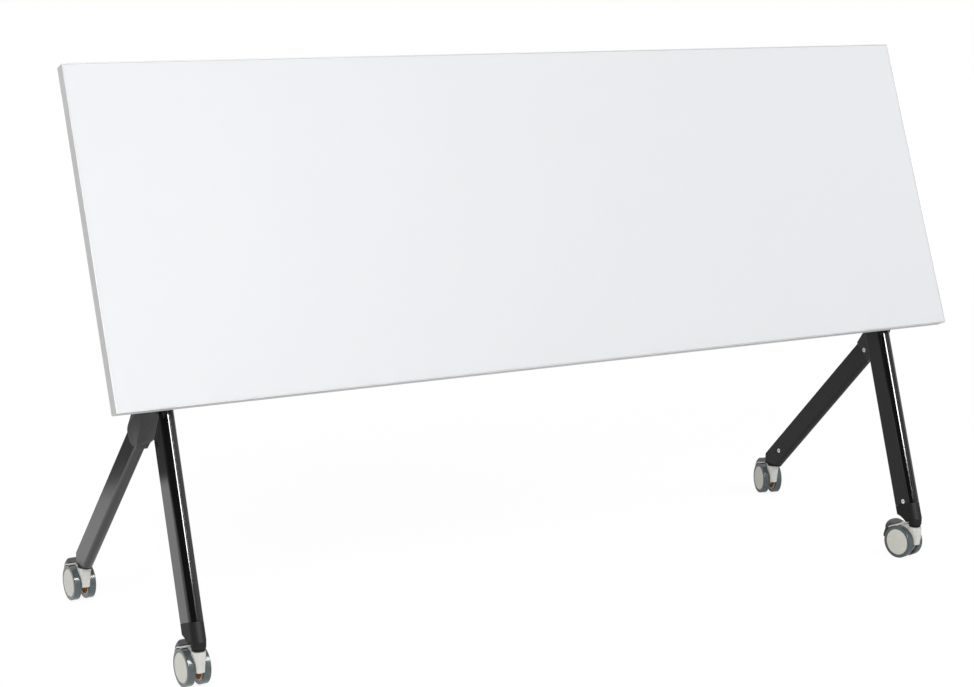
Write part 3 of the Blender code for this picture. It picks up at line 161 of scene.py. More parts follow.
class Graph:
    """The node graph of one new material or world."""

    def __init__(self, name: str, library: str = "materials",
                 output: str = "ShaderNodeOutputMaterial") -> None:
        """Start a material or a world with nothing but its output."""
        self.owner = getattr(bpy.data, library).new(name)
        self.owner.use_nodes = True
        self.tree = self.owner.node_tree
        self.tree.nodes.clear()
        self.out = self.tree.nodes.new(output)

    def finish(self, shader: bpy.types.Node) -> Any:
        """Join the last shader to the output."""
        self.tree.links.new(shader.outputs[0], self.out.inputs["Surface"])
        return self.owner

    def seen(self) -> tuple[Signal, Signal]:
        """Whether the camera sees the surface itself, and whether it sees it in gloss or through glass."""
        path = self.node("ShaderNodeLightPath", {}, {})
        glossy = Signal(self, path.outputs["Is Glossy Ray"])
        mirrored = glossy.maths("MAXIMUM", Signal(self, path.outputs["Is Transmission Ray"]))
        return Signal(self, path.outputs["Is Camera Ray"]), mirrored

    def node(self, kind: str, settings: dict[str, Any], values: dict[Any, Any]) -> bpy.types.Node:
        """Add any node.

        Args:
            kind: the node's type.
            settings: its properties.
            values: its sockets by name or number, each a value, a signal or another socket.

        Returns:
            The node.
        """
        made = self.tree.nodes.new(kind)
        for key, value in settings.items():
            setattr(made, key, value)
        for key, value in values.items():
            socket = made.inputs[key]
            if isinstance(value, Signal):
                self.tree.links.new(value.socket, socket)
            elif isinstance(value, bpy.types.NodeSocket):
                self.tree.links.new(value, socket)
            else:
                socket.default_value = value
        return made

    def place(self) -> bpy.types.NodeSocket:
        """The point's place on the piece."""
        return self.node("ShaderNodeTexCoord", {}, {}).outputs["Object"]

    def axis(self, name: str) -> Signal:
        """The X, Y or Z of the point's place."""
        split = self.node("ShaderNodeSeparateXYZ", {}, {0: self.place()})
        return Signal(self, split.outputs[name])

    def stretched(self, scale: Point, turn: Point = (0, 0, 0)) -> bpy.types.NodeSocket:
        """The point's place, turned and then scaled along each axis."""
        aimed = self.node("ShaderNodeMapping", {}, {"Vector": self.place(), "Rotation": turn})
        made = self.node("ShaderNodeMapping", {}, {"Vector": aimed.outputs[0], "Scale": scale})
        return made.outputs[0]

    def noise(self, scale: float, detail: float = 2.0, where: Any = None) -> Signal:
        """A noise of so many features to the metre.

        Args:
            scale: features to the metre.
            detail: how many finer layers are added.
            where: the coordinates, or the point's place if none are given.

        Returns:
            The noise, from 0 to 1.
        """
        where = where or self.place()
        made = self.node("ShaderNodeTexNoise", {}, {"Vector": where, "Scale": scale, "Detail": detail})
        return Signal(self, made.outputs[0])

    def pebbles(self, scale: float) -> Signal:
        """The distance from the middle of the nearest of many small cells."""
        made = self.node("ShaderNodeTexVoronoi", {}, {"Vector": self.place(), "Scale": scale})
        return Signal(self, made.outputs[0])

    def blend(self, share: Signal, low: Colour, high: Colour) -> bpy.types.NodeSocket:
        """A colour between two, by a share."""
        values = {"Factor": share, 6: (*low, 1.0), 7: (*high, 1.0)}
        return self.node("ShaderNodeMix", {"data_type": "RGBA"}, values).outputs[2]

    def bump(self, height: Signal, depth: float, under: Any = None) -> bpy.types.NodeSocket:
        """A normal from a height of 0 to 1 and a depth in metres, on top of another normal."""
        values = {"Height": height, "Distance": depth, "Strength": 1.0}
        if under is not None:
            values["Normal"] = under
        return self.node("ShaderNodeBump", {}, values).outputs[0]


# Finishes


@dataclass(frozen=True)
class Finish:
    """A surface: its colour, its gloss, and how both vary over it."""

    name: str
    colour: Colour
    roughness: float
    metallic: float = 0.0
    specular: float = 0.5
    mottle: float = 0.06
    mottle_scale: float = 9.0
    gloss_spread: float = 0.08
    grain_scale: float = 1500.0
    grain_depth: float = 0.00002

    def tone(self, graph: Graph) -> bpy.types.NodeSocket:
        """The colour, a little lighter and darker in soft patches."""
        low = tuple(c * (1 - self.mottle) for c in self.colour)
        high = tuple(min(1.0, c * (1 + self.mottle)) for c in self.colour)
        return graph.blend(graph.noise(self.mottle_scale, 4.0), low, high)

    def gloss(self, graph: Graph) -> Signal:
        """The roughness, with faint smears."""
        smear = graph.noise(self.mottle_scale * 4, 5.0)
        return self.roughness + (smear - 0.5) * self.gloss_spread

    def relief(self, graph: Graph) -> bpy.types.NodeSocket:
        """The normal, broken by a fine grain."""
        return graph.bump(graph.noise(self.grain_scale, 3.0), self.grain_depth)

    def build(self) -> bpy.types.Material:
        """Make the material.

        Returns:
            The material, ready to be put on a piece.
        """
        graph = Graph(self.name)
        values = {
            "Base Color": self.tone(graph),
            "Roughness": self.gloss(graph),
            "Normal": self.relief(graph),
            "Metallic": self.metallic,
            "Specular IOR Level": self.specular,
        }
        return graph.finish(graph.node("ShaderNodeBsdfPrincipled", {}, values))


@dataclass(frozen=True)
class Pebbled(Finish):
    """A moulded or cast surface with the tool's eroded texture."""

    def relief(self, graph: Graph) -> bpy.types.NodeSocket:
        """Small round pits over a softer unevenness."""
        soft = graph.bump(graph.noise(self.grain_scale / 12, 2.0), self.grain_depth * 2)
        return graph.bump(graph.pebbles(self.grain_scale), self.grain_depth, soft)


@dataclass(frozen=True)
class Coated(Finish):
    """A gloss coat over metal: the faint ripple of a sprayed film, and grains of dust in it."""

    ripple_scale: float = 420.0
    ripple_depth: float = 0.00001

    def relief(self, graph: Graph) -> bpy.types.NodeSocket:
        """Ripple with a finer grain on it."""
        ripple = graph.bump(graph.noise(self.ripple_scale, 1.0), self.ripple_depth)
        return graph.bump(graph.noise(self.grain_scale, 2.0), self.grain_depth, ripple)


@dataclass(frozen=True)
class Drawn(Coated):
    """A coated extrusion: the die's faint lines run along it, under the coat."""

    lean: float = 0.0
    line_scale: float = 1400.0
    line_depth: float = 0.000006

    def relief(self, graph: Graph) -> bpy.types.NodeSocket:
        """Die lines over the ripple of the coat."""
        along = graph.stretched((1, 1, 0.004), (-self.lean, 0, 0))
        lines = graph.noise(self.line_scale, 2.0, along)
        return graph.bump(lines, self.line_depth, super().relief(graph))


@dataclass(frozen=True)
class Brushed(Finish):
    """Plated steel with fine lines round or across it."""

    stretch: Point = (0.02, 1, 1)

    def relief(self, graph: Graph) -> bpy.types.NodeSocket:
        """Long fine scratches."""
        return graph.bump(graph.noise(self.grain_scale, 3.0, graph.stretched(self.stretch)), self.grain_depth)

    def tone(self, graph: Graph) -> bpy.types.NodeSocket:
        """The bluish and straw patches of zinc plating."""
        low = (self.colour[0] * 0.94, self.colour[1] * 0.95, self.colour[2])
        high = (self.colour[0], self.colour[1] * 0.99, self.colour[2] * 0.93)
        return graph.blend(graph.noise(60.0, 3.0), low, high)


@dataclass(frozen=True)
class Laminate(Finish):
    """Pressed laminate: a satin face with a very fine leathery grain."""

    def relief(self, graph: Graph) -> bpy.types.NodeSocket:
        """The press plate's grain in two sizes."""
        broad = graph.bump(graph.noise(self.grain_scale / 4, 3.0), self.grain_depth)
        return graph.bump(graph.pebbles(self.grain_scale), self.grain_depth / 2, broad)


@dataclass(frozen=True)
class Rubbered(Finish):
    """A rubber tread with a film of floor dust in patches."""

    dust: Colour = (0.2, 0.21, 0.215)

    def tone(self, graph: Graph) -> bpy.types.NodeSocket:
        """The rubber's colour with a thin film of dust in patches."""
        film = graph.noise(55.0, 6.0).step(0.55, 0.8) * 0.35
        return graph.blend(film, self.colour, self.dust)


@dataclass(frozen=True)
class Palette:
    """Every finish of the table."""

    laminate: Finish = Laminate("white_laminate", (0.845, 0.862, 0.882), 0.5, specular=0.12, mottle=0.006,
                                mottle_scale=3.0, gloss_spread=0.06, grain_scale=2600.0,
                                grain_depth=0.00003)
    band: Finish = Pebbled("pale_edge_band", (0.72, 0.725, 0.72), 0.45, mottle=0.03, mottle_scale=14.0,
                           grain_scale=2200.0, grain_depth=0.00002)
    main_coat: Finish = Drawn("gloss_black_main_leg", (0.006, 0.006, 0.0065), 0.1,
                              gloss_spread=0.04, lean=MAIN_LEAN, line_depth=0.0000006,
                              ripple_depth=0.0000008, grain_depth=0.0000004)
    rear_coat: Finish = Drawn("satin_black_rear_leg", (0.014, 0.014, 0.015), 0.22, specular=0.42,
                              lean=-REAR_LEAN, line_depth=0.000003, grain_depth=0.000004)
    beam_coat: Finish = Coated("satin_black_beam", (0.02, 0.02, 0.021), 0.38)
    casting: Finish = Pebbled("black_casting", (0.03, 0.03, 0.032), 0.42, grain_scale=1300.0,
                              grain_depth=0.00005)
    knuckle: Finish = Pebbled("charcoal_knuckle", (0.034, 0.034, 0.035), 0.45, specular=0.4,
                              grain_scale=1600.0, grain_depth=0.00004)
    socket: Finish = Pebbled("charcoal_moulding", (0.015, 0.015, 0.016), 0.6, specular=0.18,
                             grain_scale=1900.0, grain_depth=0.00004)
    lever: Finish = Pebbled("black_lever_moulding", (0.022, 0.022, 0.022), 0.45, grain_scale=1700.0,
                            grain_depth=0.00004)
    steel: Finish = Brushed("plated_steel", (0.62, 0.63, 0.64), 0.28, metallic=1.0)
    turned: Finish = Brushed("turned_steel", (0.55, 0.56, 0.57), 0.3, metallic=1.0, stretch=(1, 1, 0.02))
    # Near black, painted shade on the steel collar where it sits sunk between the socket and the castor's
    # housing
    collar: Finish = Coated("painted_shade_collar", (0.02, 0.02, 0.02), 0.4)
    bright: Finish = Brushed("bright_screw", (0.95, 0.95, 0.95), 0.35, metallic=0.1, stretch=(1, 0.02, 1))
    # Near black, painted shade: it goes on the floors of the screws' hexagons and on a thin ring in the gap
    # round each sunk screw head
    recess: Finish = Finish("painted_shade_recess", (0.01, 0.01, 0.01), 0.7)
    cream: Finish = Coated("cream_housing", (0.78, 0.77, 0.73), 0.3, mottle=0.03)
    cap: Finish = Pebbled("cream_wheel_cap", (0.74, 0.73, 0.65), 0.36, mottle=0.03, grain_scale=2400.0)
    hub: Finish = Coated("caramel_hub", (0.5, 0.22, 0.05), 0.6, specular=0.1, mottle=0.25, mottle_scale=60.0)
    tyre: Finish = Rubbered("blue_grey_tyre", (0.1, 0.125, 0.13), 0.15, gloss_spread=0.06,
                            dust=(0.15, 0.165, 0.17), grain_depth=0.000004)
    pedal: Finish = Pebbled("dark_grey_pedal", (0.062, 0.062, 0.065), 0.42, grain_scale=1500.0,
                            grain_depth=0.00005)


class Wardrobe:
    """Builds each finish once and puts it on pieces."""

    def __init__(self, palette: Palette) -> None:
        """Hold the palette."""
        self.palette = palette
        self.made: dict[str, bpy.types.Material] = {}

    def material(self, finish: Finish) -> bpy.types.Material:
        """The material of a finish."""
        if finish.name not in self.made:
            self.made[finish.name] = finish.build()
        return self.made[finish.name]

    def dress(self, piece: Object, *finishes: Finish) -> None:
        """Give a piece its finishes, in the order of its material slots."""
        for finish in finishes:
            piece.data.materials.append(self.material(finish))


# Modelling by hand


class Bench:
    """Models one piece at a time with edit-mode tools and modifiers."""

    @staticmethod
    def clear() -> None:
        """Leave edit mode and deselect everything."""
        if bpy.context.object and bpy.context.object.mode != "OBJECT":
            bpy.ops.object.mode_set(mode="OBJECT")
        bpy.ops.object.select_all(action="DESELECT")

    @classmethod
    def only(cls, piece: Object) -> None:
        """Make a piece the only selected and the active one."""
        cls.clear()
        piece.select_set(True)
        bpy.context.view_layer.objects.active = piece

    @classmethod
    def edit(cls, piece: Object, kind: Kind = Kind.FACE) -> None:
        """Open a piece in edit mode."""
        cls.only(piece)
        bpy.ops.object.mode_set(mode="EDIT")
        bpy.ops.mesh.select_mode(type=kind.value)

    @classmethod
    def box(cls, name: str, low: Point, high: Point) -> Object:
        """A box between two corners, as a start."""
        cls.clear()
        middle = [(a + b) / 2 for a, b in zip(low, high)]
        bpy.ops.mesh.primitive_cube_add(size=1, location=middle, scale=[b - a for a, b in zip(low, high)])
        piece = bpy.context.object
        piece.name = name
        bpy.ops.object.transform_apply(location=True, rotation=True, scale=True)
        return piece

    @classmethod
    def trace(cls, name: str, points: Sequence[Vector]) -> Object:
        """Draw a chain of edges by extruding one vertex from point to point.

        Args:
            name: the piece's name.
            points: the points of the chain.

        Returns:
            The piece, open in edit mode with its last vertex selected.
        """
        cls.clear()
        bpy.ops.mesh.primitive_plane_add(size=0.01)
        piece = bpy.context.object
        piece.name = name
        cls.edit(piece, Kind.VERT)
        bpy.ops.mesh.select_all(action="SELECT")
        bpy.ops.mesh.merge(type="CENTER")
        bpy.ops.transform.translate(value=points[0])
        for start, end in zip(points, points[1:]):
            bpy.ops.mesh.extrude_region_move(TRANSFORM_OT_translate={"value": end - start})
        return piece

    @classmethod
    def plate(cls, name: str, outline: Sequence[Flat], low: float, high: float, plane: Plane) -> Object:
        """Fill an outline and extrude it.

        Args:
            name: the piece's name.
            outline: the points of the closed outline.
            low: where the plate starts, square to the plane.
            high: where it ends.
            plane: the plane of the outline.

        Returns:
            The plate.
        """
        piece = cls.trace(name, [plane.place(point, low) for point in outline])
        bpy.ops.mesh.select_all(action="SELECT")
        bpy.ops.mesh.edge_face_add()
        bpy.ops.mesh.select_mode(type="FACE")
        bpy.ops.mesh.select_all(action="SELECT")
        bpy.ops.mesh.extrude_region_move(TRANSFORM_OT_translate={"value": plane.place((0, 0), high - low)})
        cls.outwards(piece)
        return piece

    @classmethod
    def lathe(cls, name: str, profile: Sequence[Flat], steps: int) -> Object:
        """Spin a profile of radius and height a full turn round Z."""
        piece = cls.trace(name, [Vector((radius, 0, height)) for radius, height in profile])
        bpy.ops.mesh.select_all(action="SELECT")
        bpy.ops.mesh.spin(steps=steps, angle=math.tau, center=(0, 0, 0), axis=(0, 0, 1))
        cls.outwards(piece)
        return piece

    @classmethod
    def outwards(cls, piece: Object) -> None:
        """Merge doubles, turn every face outwards and leave edit mode."""
        cls.edit(piece, Kind.VERT)
        bpy.ops.mesh.select_all(action="SELECT")
        bpy.ops.mesh.remove_doubles(threshold=0.000002)
        bpy.ops.mesh.normals_make_consistent(inside=False)
        bpy.ops.object.mode_set(mode="OBJECT")

    @classmethod
    def bevel(cls, piece: Object, width: float, steps: int, test: Callable[[Any], bool]) -> None:
        """Round the edges that pass a test."""
        cls.edit(piece, Kind.EDGE)
        bpy.ops.mesh.select_all(action="DESELECT")
        mesh = bmesh.from_edit_mesh(piece.data)
        for edge in mesh.edges:
            if test(edge):
                edge.select_set(True)
        mesh.select_flush_mode()
        bmesh.update_edit_mesh(piece.data)
        bpy.ops.mesh.bevel(offset=width, segments=steps, affect="EDGES", clamp_overlap=True)
        bpy.ops.object.mode_set(mode="OBJECT")

    @classmethod
    def bar(cls, name: str, radius: float, low: float, high: float, steps: int = 32) -> Object:
        """A round bar along Z, as a start or a cutter."""
        return cls.lathe(name, [(0, low), (radius, low), (radius, high), (0, high)], steps)

    @staticmethod
    def drop(*pieces: Object) -> None:
        """Remove masters and tools."""
        for piece in pieces:
            bpy.data.objects.remove(piece)

    @staticmethod
    def square_to(axis: int, angle: float) -> Callable[[Any], bool]:
        """A test for the edges square to an axis where the faces turn by more than an angle."""
        def passes(edge: Any) -> bool:
            """Whether an edge is sharp enough and level along the axis."""
            start, end = edge.verts
            return edge.calc_face_angle(0) > angle and abs(start.co[axis] - end.co[axis]) < LEVEL
        return passes

    @classmethod
    def slice(cls, piece: Object, point: Point, normal: Point) -> None:
        """Cut off what lies on the normal's side of a plane, and close the cut."""
        cls.edit(piece)
        bpy.ops.mesh.select_all(action="SELECT")
        bpy.ops.mesh.bisect(plane_co=point, plane_no=normal, use_fill=True, clear_outer=True)
        cls.outwards(piece)

    @classmethod
    def apply(cls, piece: Object, kind: str, **settings: Any) -> None:
        """Add a modifier with its settings and apply it."""
        cls.only(piece)
        modifier = piece.modifiers.new(kind.title(), kind)
        for key, value in settings.items():
            setattr(modifier, key, value)
        bpy.ops.object.modifier_apply(modifier=modifier.name)

    @classmethod
    def combine(cls, piece: Object, operation: str, tools: Iterable[Object]) -> Object:
        """Join tools to a piece, carve them from it or keep the common part, and remove them."""
        for tool in tools:
            cls.apply(piece, "BOOLEAN", operation=operation, solver="EXACT", object=tool)
            cls.drop(tool)
        return piece

    @classmethod
    def fuse(cls, piece: Object, *tools: Object) -> Object:
        """Join the tools to a piece."""
        return cls.combine(piece, "UNION", tools)

    @classmethod
    def carve(cls, piece: Object, *tools: Object) -> Object:
        """Take the tools away from a piece."""
        return cls.combine(piece, "DIFFERENCE", tools)

    @classmethod
    def soften(cls, piece: Object, width: float, steps: int = 2, degrees: float = 35.0) -> Object:
        """Round every edge sharper than an angle and smooth the rest.

        Args:
            piece: the piece.
            width: the width of the rounding.
            steps: its segments.
            degrees: the angle above which an edge is rounded.

        Returns:
            The piece.
        """
        cls.edit(piece, Kind.VERT)
        bpy.ops.mesh.select_all(action="SELECT")
        bpy.ops.mesh.remove_doubles(threshold=0.000005)
        bpy.ops.mesh.dissolve_limited(angle_limit=math.radians(0.3))
        bpy.ops.object.mode_set(mode="OBJECT")
        limit = math.radians(degrees)
        cls.apply(piece, "BEVEL", width=width, segments=steps, limit_method="ANGLE", angle_limit=limit)
        return cls.smooth(piece)

    @classmethod
    def smooth(cls, piece: Object, degrees: float = 34.0) -> Object:
        """Shade a piece smooth but for its sharp edges, with flat faces kept flat."""
        cls.only(piece)
        bpy.ops.object.shade_smooth_by_angle(angle=math.radians(degrees))
        cls.apply(piece, "WEIGHTED_NORMAL", keep_sharp=True, weight=80)
        return piece

    @classmethod
    def settle(cls, piece: Object, place: Matrix, mirrored: bool = False) -> Object:
        """Put a piece modelled in its own space into the table's, with its place in its mesh.

        Args:
            piece: the piece.
            place: the space that it was modelled in.
            mirrored: whether it is first turned into its mirror image across X.

        Returns:
            The piece.
        """
        if mirrored:
            piece.data.transform(Matrix.Scale(-1, 4, (1, 0, 0)))
            piece.data.flip_normals()
        piece.matrix_world = place
        cls.only(piece)
        bpy.ops.object.transform_apply(location=True, rotation=True, scale=True)
        return piece

    @classmethod
    def copy(cls, piece: Object, name: str) -> Object:
        """A copy with its own mesh."""
        made = piece.copy()
        made.data = piece.data.copy()
        made.name = name
        bpy.context.scene.collection.objects.link(made)
        return made


# Outlines


def arc(centre: Flat, radius: float, start: float, end: float, steps: int) -> list[Flat]:
    """Points along an arc, both ends included.

    Args:
        centre: the arc's centre.
        radius: its radius.
        start: the angle it starts at, in degrees.
        end: the angle it ends at.
        steps: the number of its segments.

    Returns:
        The points.
    """
    return [polar(centre, radius, start + (end - start) * i / steps) for i in range(steps + 1)]


def polar(centre: Flat, radius: float, degrees: float) -> Flat:
    """The point of a circle at an angle."""
    angle = math.radians(degrees)
    return centre[0] + radius * math.cos(angle), centre[1] + radius * math.sin(angle)


def rounded(left: float, right: float, low: float, high: float, radius: float, steps: int = 6) -> list[Flat]:
    """A rectangle with round corners."""
    points: list[Flat] = []
    for x, y, start in ((right - radius, high - radius, 0), (left + radius, high - radius, 90),
                        (left + radius, low + radius, 180), (right - radius, low + radius, 270)):
        points += arc((x, y), radius, start, start + 90, steps)
    return points


def curve(points: Sequence[Flat], steps: int) -> list[Flat]:
    """A smooth curve through the points.

    Args:
        points: the points.
        steps: the segments between two of them.

    Returns:
        The curve's points, from the first to the last.
    """
    ends = [points[0], *points, points[-1]]
    made: list[Flat] = []
    for a, b, c, d in zip(ends, ends[1:], ends[2:], ends[3:]):
        for i in range(steps):
            t = i / steps
            made.append(tuple(
                q + ((r - p) * t + (2 * p - 5 * q + 4 * r - s) * t**2 + (3 * q - 3 * r + s - p) * t**3) / 2
                for p, q, r, s in zip(a, b, c, d)
            ))
    return made + [points[-1]]


def turned(points: Iterable[Flat], degrees: float) -> list[Flat]:
    """The points turned about the plane's origin."""
    c, s = math.cos(math.radians(degrees)), math.sin(math.radians(degrees))
    return [(x * c - y * s, x * s + y * c) for x, y in points]


def space(place: Point, lean: float = 0.0, heading: float = 0.0) -> Matrix:
    """The space of a piece that stands at a place and leans about X or is turned about Z."""
    return Matrix.Translation(place) @ Matrix.Rotation(heading, 4, "Z") @ Matrix.Rotation(lean, 4, "X")


@dataclass
class Assembly:
    """What every sub-assembly shares: the finishes and the way its pieces are fitted."""

    wardrobe: Wardrobe

    @property
    def palette(self) -> Palette:
        """The finishes."""
        return self.wardrobe.palette

    def fit(self, piece: Object, name: str, body: str, slot: str, finishes: Sequence[Finish],
            *nodes: str) -> None:
        """Name, dress and fit a finished piece.

        Args:
            piece: the piece, in its place.
            name: its name.
            body: the body that it rides on.
            slot: not used.
            finishes: its finishes.
            nodes: the frame's nodes that it stands for.
        """
        piece.name = name
        piece.data.name = name
        self.wardrobe.dress(piece, *finishes)
        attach(piece, body)
        if nodes:
            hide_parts(*nodes)
        LOG.info("%s: %d faces on %s", name, len(piece.data.polygons), body)

    def pair(self, master: Object, place: Callable[[int], Matrix], name: str, body: str, slot: str,
             finishes: Sequence[Finish], mirrored: bool = False) -> None:
        """Fit a copy on each side of the table, and remove the master.

        Args:
            master: the piece that is copied.
            place: what gives the space of a side from its sign.
            name: the pieces' name, with braces for the side. Without its last word it is the node's.
            body: the body, with braces if each side has its own.
            slot: handed on to fit, which does not use it.
            finishes: the finishes.
            mirrored: whether the left one is the right one's mirror image.
        """
        for side, sign in SIDES.items():
            piece = Bench.settle(Bench.copy(master, "half"), place(sign), mirrored=mirrored and sign < 0)
            node = name.rsplit("_", 1)[0].format(side)
            self.fit(piece, name.format(side), body.format(side), slot, finishes, node)
        Bench.drop(master)


# The top


@dataclass
class Top(Assembly):
    """The board, its band and the two brackets, with Y from the front edge to the back, Z square to it."""

    length: float = 1.8
    depth: float = 0.6
    surface: float = 0.072
    underside: float = 0.047
    pivot_from_edge: float = 0.242
    band_thickness: float = 0.002
    corner: float = 0.0015
    bracket_width: float = 0.070
    bracket_length: float = 0.180
    bracket_thickness: float = 0.004
    quadrant: float = 0.030
    ear_front: float = 0.026
    ear_rear: float = 0.058
    ear_thickness: float = 0.012
    bolt_radius: float = 0.004
    notch_depth: float = 0.0055
    screw_inset: float = 0.012

    @property
    def place(self) -> Matrix:
        """The space of the top, tipped about its pivot."""
        return space(PIVOT, TOP_TILT)

    def edges(self, inset: float) -> tuple[float, float, float, float]:
        """The board's left, right, front and back, drawn in by an inset."""
        half = self.length / 2 - inset
        front = inset - self.pivot_from_edge
        return -half, half, front, self.depth - self.pivot_from_edge - inset

    def board(self) -> None:
        """The laminated board with its edges just broken."""
        left, right, front, back = self.edges(self.band_thickness + SEAT_GAP)
        board = Bench.box("board", (left, front, self.underside), (right, back, self.surface))
        Bench.bevel(board, 0.0002, 1, lambda edge: True)
        Bench.smooth(board)
        Bench.settle(board, self.place)
        self.fit(board, "board", "top", "laminate", [self.palette.laminate], "worktop")

    def band(self) -> None:
        """The band round the edges: round corners and a small radius along each arris."""
        rim = rounded(*self.edges(0), self.corner)
        band = Bench.plate("band", rim, self.underside, self.surface, Plane.PLAN)
        left, right, front, back = self.edges(self.band_thickness)
        low, high = self.underside - 0.01, self.surface + 0.01
        Bench.carve(band, Bench.box("opening", (left, front, low), (right, back, high)))
        outer = self.band_thickness / 2

        def arris(edge: Any) -> bool:
            """Whether an edge runs round the outside of a face."""
            level = abs(edge.verts[0].co.z - edge.verts[1].co.z) < 1e-5
            inside = all(left - 1e-4 < v.co.x < right + 1e-4 and front - 1e-4 < v.co.y < back + 1e-4
                         for v in edge.verts)
            return level and not inside and edge.calc_face_angle(0) > 1

        Bench.bevel(band, outer * 0.8, 3, arris)
        Bench.smooth(band)
        Bench.settle(band, self.place)
        self.fit(band, "band", "top", "band", [self.palette.band], "edge_band")

    def notch(self, degrees: float) -> tuple[list[Flat], float]:
        """A bolt's notch in the quadrant's rim.

        Args:
            degrees: where on the rim it lies.

        Returns:
            Its four points and the rim's half angle that it takes.
        """
        half = self.bolt_radius + SEAT_GAP
        spread = math.degrees(math.asin(half / self.quadrant))
        rim = self.quadrant * math.cos(math.radians(spread))
        floor = self.quadrant - self.notch_depth
        sides = [(rim, -half), (floor, -half), (floor, half), (rim, half)]
        return turned(sides, degrees), spread + 1

    def ear(self) -> list[Flat]:
        """The outline of the bracket's ear."""
        flat = 270 - math.degrees(MAIN_LEAN)
        tipped = flat - math.degrees(TOP_TILT)
        tipped_notch, spread = self.notch(tipped)
        flat_notch, _ = self.notch(flat)
        root = self.underside - SEAT_GAP - self.bracket_thickness / 2
        start = 180 - math.degrees(math.acos(self.ear_front / self.quadrant))
        points = [(-self.ear_front, root)]
        points += arc((0, 0), self.quadrant, start, tipped - spread, 4) + tipped_notch
        points += arc((0, 0), self.quadrant, tipped + spread, flat - spread, 20) + flat_notch
        points += arc((0, 0), self.quadrant, flat + spread, 330, 24)
        return points + [(self.ear_rear, root)]

    def bracket(self) -> Object:
        """The cast bracket in its own space: plate, ear and ribs."""
        top = self.underside - SEAT_GAP
        low = top - self.bracket_thickness
        wide, long = self.bracket_width / 2, self.bracket_length / 2
        bracket = Bench.plate("bracket", rounded(-wide, wide, -long, long, 0.010), low, top, Plane.PLAN)
        half = self.ear_thickness / 2
        ribs = []
        for y in (0.0, self.ear_rear - 0.008):
            outline = [(-0.028, low + 0.001), (0.028, low + 0.001), (0, 0.036)]
            ribs.append(Bench.plate("rib", outline, y - 0.002, y + 0.002, Plane.CASTOR))
        Bench.fuse(bracket, Bench.plate("ear", self.ear(), -half, half, Plane.SIDE), *ribs)
        bores = [Bench.settle(Bench.bar("hole", 0.0025, low - 0.01, top + 0.01, 24), space((x, y, 0)))
                 for x, y in self.screw_places()]
        pivot = Bench.bar("pivot", 0.0063, -0.02, 0.02, 40)
        Bench.settle(pivot, Matrix.Rotation(math.pi / 2, 4, "Y"))
        Bench.carve(bracket, pivot, *bores)
        return Bench.soften(bracket, 0.0006, 2)

    def screw_places(self) -> list[Flat]:
        """Where the bracket's screws stand."""
        wide = self.bracket_width / 2 - self.screw_inset
        long = self.bracket_length / 2 - self.screw_inset
        return [(x, y) for x in (-wide, wide) for y in (-long, long)]

    def brackets(self) -> None:
        """A bracket under the board over each main leg, with its four screws."""
        master = self.bracket()
        low = self.underside - SEAT_GAP - self.bracket_thickness
        screw = Fastener(self.wardrobe, radius=0.0042, height=0.0024).head()
        for side, sign in SIDES.items():
            piece = Bench.settle(Bench.copy(master, "bracket"), self.place @ space((sign * MAIN_X, 0, 0)))
            self.fit(piece, f"bracket_{side}", "top", "cast", [self.palette.casting], f"top_bracket_{side}")
            for number, (x, y) in enumerate(self.screw_places(), 1):
                under = space((sign * MAIN_X + x, y, low)) @ Matrix.Rotation(math.pi, 4, "X")
                made = Bench.settle(Bench.copy(screw, "screw"), self.place @ under)
                name = f"bracket_screw_{side}_{number}"
                # The second finish is painted shade on the floor of each screw's hexagon
                self.fit(made, name, "top", "steel", [self.palette.steel, self.palette.recess])
        Bench.drop(master, screw)

    def build(self) -> None:
        """Build the top."""
        self.board()
        self.band()
        self.brackets()


@dataclass
class Fastener(Assembly):
    """A screw head that stands on the plane Z = 0 with a hexagon recess."""

    radius: float = 0.0033
    height: float = 0.0012
    recess: float = 0.0017
    steps: int = 28

    def head(self) -> Object:
        """The head: a low dome with a hexagon sunk in it, the hexagon's floor painted dark as painted shade.
        """
        edge = self.radius
        profile = [(0, 0), (edge, 0), (edge, self.height * 0.55)]
        profile += [(edge - self.height * 0.35, self.height * 0.88), (edge * 0.62, self.height)]
        profile.append((0, self.height))
        head = Bench.lathe("head", profile, self.steps)
        hexagon = arc((0, 0), self.recess, 0, 300, 5)
        deep = self.height * 0.35
        Bench.carve(head, Bench.plate("key", hexagon, deep, self.height * 2, Plane.PLAN))
        # The hexagon's floor takes the second slot, painted shade in the recess
        for face in head.data.polygons:
            in_key = face.center.xy.length < self.recess
            face.material_index = int(abs(face.center.z - deep) < NEAR and in_key)
        return Bench.smooth(head)


# The leg frames


